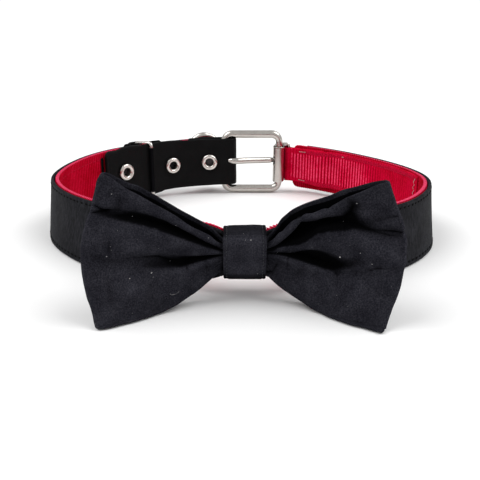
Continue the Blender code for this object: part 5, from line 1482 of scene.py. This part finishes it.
def wing_grid(w, seed):
    """Middle surface of one wing: front layer out, a fold at the outer edge, back layer in.

    Also returns each point's painted tone: painted shade in a fold (below 0.5), painted highlight on a crest (above
    0.5)."""
    nf, nb, nt, nv = 136, 46, 9, 126
    sign = w["sign"]
    share = np.linspace(0, 1, nf)
    inset = CLOTH / 2
    vv = np.linspace(0, 1, nv)
    reach = 0.55 + 0.35 * (1 - vv) ** 1.5          # size of the fold's roll at the outer edge

    outer2 = along_line(w["outer"], vv)
    corner = np.clip(np.minimum(vv, 1 - vv) / 0.03, 0, 1)
    outer2[:, 0] -= sign * (inset + reach)
    outer2[:, 1] += inset * (1 - vv) ** 8 - inset * vv ** 8
    bottom2 = along_line(w["bottom"], share)
    bottom2[:, 1] += inset
    top2 = along_line(w["top"], share)
    top2[:, 1] -= inset
    k = share ** 8
    bottom2 += (outer2[0] - bottom2[-1]) * k[:, None]
    top2 += (outer2[-1] - top2[-1]) * k[:, None]
    inner2 = np.stack([np.full(nv, w["knot_x"]), np.linspace(bottom2[0, 1], top2[0, 1], nv)], axis=1)
    q = coons(bottom2, top2, inner2, outer2)
    x, z = q[..., 0], q[..., 1]
    # the lower edge would dip under the floor: it stands on it and flares forward instead
    y, s = plane_y(x, z, w)
    dip = np.maximum(0.75 - z, 0)
    flare = np.maximum(0.75 - bottom2[:, 1], 0)[:, None] * np.exp(-((vv[None, :] / 0.10) ** 1.3))
    y = y - 1.9 * np.maximum(flare, dip)
    z = z + dip
    relief = np.zeros_like(x)
    swell = np.zeros_like(x)
    shade = np.zeros_like(x)
    for rows in w["pockets"]:
        d, lips = pocket_field(x, z, rows)
        relief, swell = relief + d, swell + lips
        # painted shade on the wall under a fold, right up to its lip
        d2, _ = pocket_field(x, z + 0.40, [(a, b, c + 0.2, e, max(f, 0.4), 0.5 * g + 0.1) for a, b, c, e, f, g in rows])
        shade = shade + np.maximum(d, d2)
    for rows in w["creases"]:
        d = polyline_field(x, z, rows)
        relief, shade = relief + d, shade + 0.50 * d
    for rows in w["crests"]:
        swell = swell + polyline_field(x, z, rows, 2.0)
    p3 = np.stack([x, z, np.zeros_like(x)], axis=2)
    fade = np.clip(s / 0.12, 0, 1)
    small = (0.30 * noise(p3, (6.5, 5.0, 1), seed) + 0.15 * noise(p3, (3.2, 2.4, 1), seed + 1)
             + 0.05 * noise(p3, (1.5, 1.2, 1), seed + 2)) * fade
    # fine gathers fanning out of the knot
    fan = np.arctan2(z - 17.5, np.abs(x - w["knot_x"]) + 5.0)
    small = small + 0.28 * np.sin(fan * 34 + seed) * np.exp(-np.clip(s, 0, 1) / 0.22) * np.clip(s / 0.03, 0, 1)
    front = np.stack([x, y + relief - swell - small, z], axis=2)
    soft = shade.copy()
    for _ in range(30):                        # the shade a fold throws round itself
        soft[1:-1] = (soft[:-2] + 2 * soft[1:-1] + soft[2:]) / 4
        soft[:, 1:-1] = (soft[:, :-2] + 2 * soft[:, 1:-1] + soft[:, 2:]) / 4
    # painted tone: painted shade in and round the folds, painted highlight on the crests
    tone = 0.56 - 0.56 * np.clip(shade / 1.7, 0, 1) ** 0.8 + 0.26 * np.clip(swell / 1.6, 0, 1) * (shade < 0.4)
    tone = tone - 0.26 * np.clip(soft / 1.6, 0, 1)
    # painted light on the outer part of each wing, more on the left, and random variation in tone
    outer_painted_light = 0.16 if sign < 0 else 0.05
    tone = tone + outer_painted_light * np.clip((s - 0.55) / 0.4, 0, 1) * (shade < 0.6) + 0.07 * noise(p3, (4.0, 3.2, 1), seed + 7)

    tone = np.clip(tone, 0, 1)

    # back layer
    share_b = np.linspace(1, 0, nb)
    back_top = along_line(w["back_top"], share_b)
    back_top[:, 1] -= inset
    back_bottom = along_line(w["bottom"], share_b)
    back_bottom[:, 1] = np.maximum(back_bottom[:, 1] + 1.6, 0.9)
    end = front[-1].copy()
    depth = 1.3 + 1.9 * (1 - vv)
    back_outer = np.stack([end[:, 0], end[:, 2]], axis=1)
    kb = share_b ** 8
    back_top += (back_outer[-1] - back_top[0]) * kb[:, None]
    back_bottom += (back_outer[0] - back_bottom[0]) * kb[:, None]
    inner_b = np.stack([np.full(nv, w["knot_x"]), np.linspace(back_bottom[-1, 1], back_top[-1, 1], nv)], axis=1)
    qb = coons(back_bottom, back_top, back_outer, inner_b)
    xb, zb = qb[..., 0], qb[..., 1]
    yb, sb = plane_y(xb, zb, w)
    sb = np.clip(sb, 0, 1)
    arch = np.sin(math.pi * sb ** 0.55)
    # share of each point's height up to the top edge, where the layer stands nearer the front
    up = np.linspace(0, 1, nv)[None, :]
    yb = yb + 3.0 + 3.5 * arch + 4.5 * arch * np.exp(-(((up - 0.55) / 0.30) ** 2))
    target = end[:, 1] + depth
    yb = yb + (target - yb[0])[None, :] * np.exp(-((1 - sb) / 0.10) ** 2)
    p3b = np.stack([xb, zb, np.zeros_like(xb)], axis=2)
    yb = yb + 0.30 * noise(p3b, (7, 6, 1), seed + 5) * np.clip(sb / 0.1, 0, 1)
    limit = band_face(xb) - CLOTH / 2 - 0.45
    yb = np.where(zb < 27.5, np.minimum(yb, limit), yb)
    back = np.stack([xb, yb, zb], axis=2)
    tone_b = np.full(xb.shape, -1.0)           # below 0: painted shade on the side that faces the fold

    # keep the front layer clear of the back one
    for j in range(nv):
        order = np.argsort(xb[:, j])
        wall = np.interp(front[:, j, 0], xb[order, j], yb[order, j]) - CLOTH - 0.3
        top_z = np.interp(front[:, j, 0], np.sort(back_top[:, 0]), back_top[np.argsort(back_top[:, 0]), 1])
        wall = np.where((s[:, j] > 0.94) | (front[:, j, 2] > top_z), 1e3, wall)
        front[:, j, 1] = np.minimum(front[:, j, 1], wall)
    end = front[-1]

    turn = []
    a, b = end, back[0]
    for t in np.linspace(0, math.pi, nt + 2)[1:-1]:
        m = (a + b) / 2 - (b - a) / 2 * math.cos(t)
        m[:, 0] = (a[:, 0] + b[:, 0]) / 2 + (a[:, 0] - b[:, 0]) / 2 * math.cos(t) + sign * reach * math.sin(t)
        turn.append(m)
    # inside the knot both layers run straight in
    tail = np.linspace(1, 0, 6)[:, None, None][:-1]
    lead = front[0][None] + tail * np.array([-sign * 5.6, 0, 0])
    trail = back[-1][None] + tail[::-1] * np.array([-sign * 5.6, 0, 0])
    grid = np.concatenate([lead, front, np.stack(turn), back, trail])
    # painted shade where the layers run into the knot, painted highlight along the roll at the outer edge
    tones = np.concatenate([np.full((5, nv), 0.2), tone, np.full((nt, nv), 0.90), tone_b, np.full((5, nv), 0.3)])
    return grid, tones, 5, nf


def paint(ob, grid, tones, rim, closed=False):
    """Store each vertex's painted tone (painted shade in folds, painted highlight on crests), following the order in
    which ribbon() lays its vertices.

    Where the tone is below 0 the vertex gets painted shade if it faces forward, inside the bow, except
    along the strip's upper edge."""
    nu, nv = tones.shape
    rows = np.arange(nu) if closed else np.concatenate([[0] * 3, np.arange(nu), [nu - 1] * 3])

    def around(values):
        t = values[rows]
        return np.concatenate([t, np.repeat(t[:, -1:], rim, 1), t[:, ::-1], np.repeat(t[:, :1], rim, 1)], axis=1)

    me = ob.data
    co = np.empty(len(me.vertices) * 3)
    me.vertices.foreach_get("co", co)
    y = co.reshape(-1, 3)[:, 1]
    tone, mid_y = around(tones).ravel(), around(world(grid)[..., 1]).ravel()
    below_edge = around(grid[:, -1:, 2] - grid[..., 2]).ravel()
    inside = (y < mid_y - 0.00005) & (below_edge > 0.95)
    tone = np.where(tone < 0, np.where(inside, 0.03, 0.60), tone)
    layer = me.color_attributes.new("fold", "FLOAT_COLOR", "POINT")
    out = np.ones((len(tone), 4), np.float32)
    out[:, :3] = np.clip(tone, 0, 1)[:, None]
    layer.data.foreach_set("color", out.ravel())


def build_wing(side):
    w = WINGS[side]
    seed = 3 if side == "left" else 11
    grid, tones, lead, nf = wing_grid(w, seed)
    ob, a, b, n = ribbon(f"bow_wing_{side}", grid, CLOTH, "cloth", rim=4)
    paint(ob, grid, tones, 4)
    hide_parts(f"wing_{side}")
    front_rows = slice(lead, lead + nf)
    face = a if a[lead + 40, 50, 1] < b[lead + 40, 50, 1] else b
    nn = n if face is a else -n
    pts, nrm = face[front_rows].reshape(-1, 3), nn[front_rows].reshape(-1, 3)

    def on_cloth(x, z):
        k = int(np.argmin((pts[:, 0] - x) ** 2 + (pts[:, 2] - z) ** 2))
        return pts[k], nrm[k]

    c, m, size = [], [], []
    for x, z, r in w["specks"]:
        p, q = on_cloth(x, z)
        c.append(p + q * 0.02); m.append(q); size.append((r * 1.05, r * 0.8, r * 0.5))
    along = [(1.0, 0.0, 0.6 * math.sin(i * 1.7)) for i in range(len(c))]
    pills(f"lint_{side}", c, along, m, size, "lint")
    for i, line in enumerate(w["fibres"]):
        path = []
        for x, z in smooth_curve(line, 14):
            p, q = on_cloth(x, z)
            path.append(p + q * 0.04)
        path = np.array(path)
        for _ in range(3):
            path[1:-1] = (path[:-2] + 2 * path[1:-1] + path[2:]) / 4
        sweep(f"fibre_{side}_{i + 1}", path, 0.035, "lint", sides=6)
    return ob


def build_knot():
    loop = smooth_curve(KNOT_SECTION, 150, closed=True)
    x0, x1 = KNOT_X
    nv = 46
    half = 0.55
    xs = np.linspace(x0 + half, x1 - half, nv)
    c = loop.mean(axis=0)
    inward = -unit(np.stack([np.gradient(loop[:, 1]), -np.gradient(loop[:, 0])], axis=1))
    if np.mean(np.sum(inward * (c - loop), axis=1)) < 0:
        inward = -inward
    mid2 = loop + inward * half
    grid = np.zeros((len(loop), nv, 3))
    grid[..., 0] = xs[None, :]
    grid[..., 1] = mid2[:, 0][:, None]
    grid[..., 2] = mid2[:, 1][:, None]
    p = grid.copy()
    e = np.minimum(xs - x0, x1 - xs)
    pillow = 0.22 * (1 - np.exp(-e / 1.2))[None, :] * np.ones((len(loop), 1))
    wob = 0.14 * noise(p, (5, 4, 4), 51) + 0.06 * noise(p, (2, 1.6, 1.6), 52)
    line = -0.20 * np.exp(-(((e - 1.25) / 0.32) ** 2))[None, :]
    front_side = (loop[:, 0] < -86)[:, None]
    # a tuck across the top just behind the front ridge and a turned-under lip at the bottom
    zf, yf = loop[:, 1][:, None], loop[:, 0][:, None]
    mid_x = (xs - (x0 + x1) / 2) / (x1 - x0) * 2
    lip_z = 8.5 + 0.8 * (1 - mid_x**2)[None, :]
    lip = np.where(yf < -83, -0.42 * np.exp(-(((zf - lip_z) / 0.45) ** 2)) + 0.25 * np.exp(-(((zf - lip_z + 1.0) / 0.6) ** 2)), 0)
    ridge = np.where(front_side, 0.18 * np.exp(-(((zf - 25.0) / 0.9) ** 2)), 0)
    seam = np.where((zf > 22) & (yf > -82), 0.35 * np.exp(-(((yf + 79.4) / 0.7) ** 2)), 0)
    puff = pillow + wob + line + lip + ridge + seam
    grid = grid + np.concatenate([np.zeros((len(loop), 1)), -inward], axis=1)[:, None, :] * puff[..., None]
    # side edges waver a little
    sway = 0.16 * noise(np.stack([p[:, 0, 0] * 0, p[:, 0, 1], p[:, 0, 2]], axis=1), (1, 3.0, 3.0), 55)
    grid[..., 0] += sway[:, None] * (mid_x[None, :] ** 3)
    ob, a, b, n = ribbon("bow_knot_wrap", grid, 2 * half, "cloth", closed=True, rim=5)
    zz, yy = p[..., 2], p[..., 1]
    # painted tone: painted highlight on the front ridge and near the top of the front, painted shade on the top behind
    # the ridge, along the side edges and low on the front, with random variation
    tones = np.full(zz.shape, 0.82)
    tones = np.where(yy > -88.9, np.interp(yy, [-88.9, -88.5, -80.0], [1.0, 0.40, 0.38]), tones)
    tones = tones - 0.35 * np.exp(-np.minimum(xs - x0, x1 - xs) / 0.6)[None, :] + 0.06 * noise(p, (2.4, 2.0, 2.0), 58)
    tones = np.where((zz < 11.5) & (yy < -86), tones * np.interp(zz, [8.0, 11.5], [0.55, 1.0]), tones)
    tones = tones + np.where(yy < -88.0, 0.20 * np.exp(-(((zz - 23.9) / 0.6) ** 2)), 0)
    paint(ob, grid, np.clip(tones, 0, 1), 5, True)
    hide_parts("bow_knot")
    face = a if a[10, 20, 1] < b[10, 20, 1] else b
    nn = n if face is a else -n
    out, t, m = [], [], []
    for target in (x0 + 1.25, x1 - 1.25):
        k = int(np.argmin(np.abs(xs - target)))
        q = seam_points(face[:, k], nn[:, k], 1.15, 0.2, 0.2, 0.15, 90)
        out.append(q[0]); t.append(q[1]); m.append(q[2])
    pills("knot_stitches", np.concatenate(out), np.concatenate(t), np.concatenate(m), (0.50, 0.24, 0.20),
          "thread_light")
    specks = [(5.4, 22.9, 0.26), (3.5, 22.9, 0.16), (7.8, 10.8, 0.14), (3.0, 24.6, 0.14)]
    pts, nrm = face.reshape(-1, 3), nn.reshape(-1, 3)
    c, q, size = [], [], []
    for x, z, r in specks:
        d = (pts[:, 0] - x) ** 2 + (pts[:, 2] - z) ** 2 + (pts[:, 1] > -84) * 1e3
        k = int(np.argmin(d))
        c.append(pts[k]); q.append(nrm[k]); size.append((r * 1.6, r, r * 0.7))
    pills("lint_knot", c, [(1, 0, 0.2)] * len(c), q, size, "lint")
    return ob


# ---------------------------------------------------------------- room, light, camera
def build_room():
    me = bpy.data.meshes.new("studio_floor")
    bm = bmesh.new()
    bmesh.ops.create_grid(bm, x_segments=2, y_segments=2, size=6.0)
    bm.to_mesh(me)
    bm.free()
    floor = bpy.data.objects.new("studio_floor", me)
    SCENE.collection.objects.link(floor)
    mat = bpy.data.materials.new("studio_white")
    mat.use_nodes = True
    shader = mat.node_tree.nodes["Principled BSDF"]
    shader.inputs["Base Color"].default_value = (0.86, 0.86, 0.86, 1.0)
    shader.inputs["Roughness"].default_value = 0.75
    shader.inputs["Specular IOR Level"].default_value = 0.2
    me.materials.append(mat)

    world_data = bpy.data.worlds.new("studio")
    SCENE.world = world_data
    world_data.use_nodes = True
    nodes, links = world_data.node_tree.nodes, world_data.node_tree.links
    nodes.clear()
    out = nodes.new("ShaderNodeOutputWorld")
    bg = nodes.new("ShaderNodeBackground")
    tc = nodes.new("ShaderNodeTexCoord")
    sep = nodes.new("ShaderNodeSeparateXYZ")
    links.new(tc.outputs["Generated"], sep.inputs[0])
    # a white wall all round low down, and dimmer above it up to overhead
    rampn = nodes.new("ShaderNodeValToRGB")
    el = rampn.color_ramp.elements
    for _ in range(2):
        el.new(0.5)
    for e, (at, level) in zip(el, ((0.060, 0.95), (0.085, 0.60), (0.50, 0.58), (1.0, 0.56))):
        e.position, e.color = at, (level, level, level * 1.0, 1)
    links.new(sep.outputs[2], rampn.inputs[0])
    links.new(rampn.outputs[0], bg.inputs["Color"])
    bg.inputs["Strength"].default_value = 1.10
    links.new(bg.outputs[0], out.inputs[0])

    # a large soft light high on either side
    for side, turn, energy in (("left", -90.0, 1.5), ("right", 90.0, 1.5)):
        data = bpy.data.lights.new(f"softbox_{side}", "SUN")
        data.energy = energy
        data.specular_factor = 0.5
        data.angle = math.radians(42)
        sun = bpy.data.objects.new(f"softbox_{side}", data)
        up = math.radians(52)
        aim = Vector((math.sin(math.radians(turn)) * math.cos(up), -math.cos(math.radians(turn)) * math.cos(up)
                      - 0.12, math.sin(up)))
        sun.rotation_euler = (-aim).to_track_quat("-Z", "Y").to_euler()
        SCENE.collection.objects.link(sun)
    SCENE.view_settings.view_transform = "Standard"
    SCENE.view_settings.look = "None"
    SCENE.view_settings.exposure = 0.0
    SCENE.view_settings.gamma = 1.0


def build_camera():
    data = bpy.data.cameras.new("camera")
    cam = bpy.data.objects.new("camera", data)
    SCENE.collection.objects.link(cam)
    cam.location = (-0.001598, -0.259491, 0.08854)
    cam.rotation_euler = (math.pi / 2 - 0.335, 0.0, 0.0)
    data.lens, data.sensor_width = 45.0, 36.0
    data.shift_x = 5.0 / 480.0
    data.clip_start, data.clip_end = 0.005, 30.0
    SCENE.camera = cam


build_camera()
build_room()
build_band()
build_lining()
holes = build_strap()
build_eyelets(holes)
build_buckle()
build_tab()
build_keeper()
build_d_ring()
left = build_wing("left")
right = build_wing("right")
knot = build_knot()
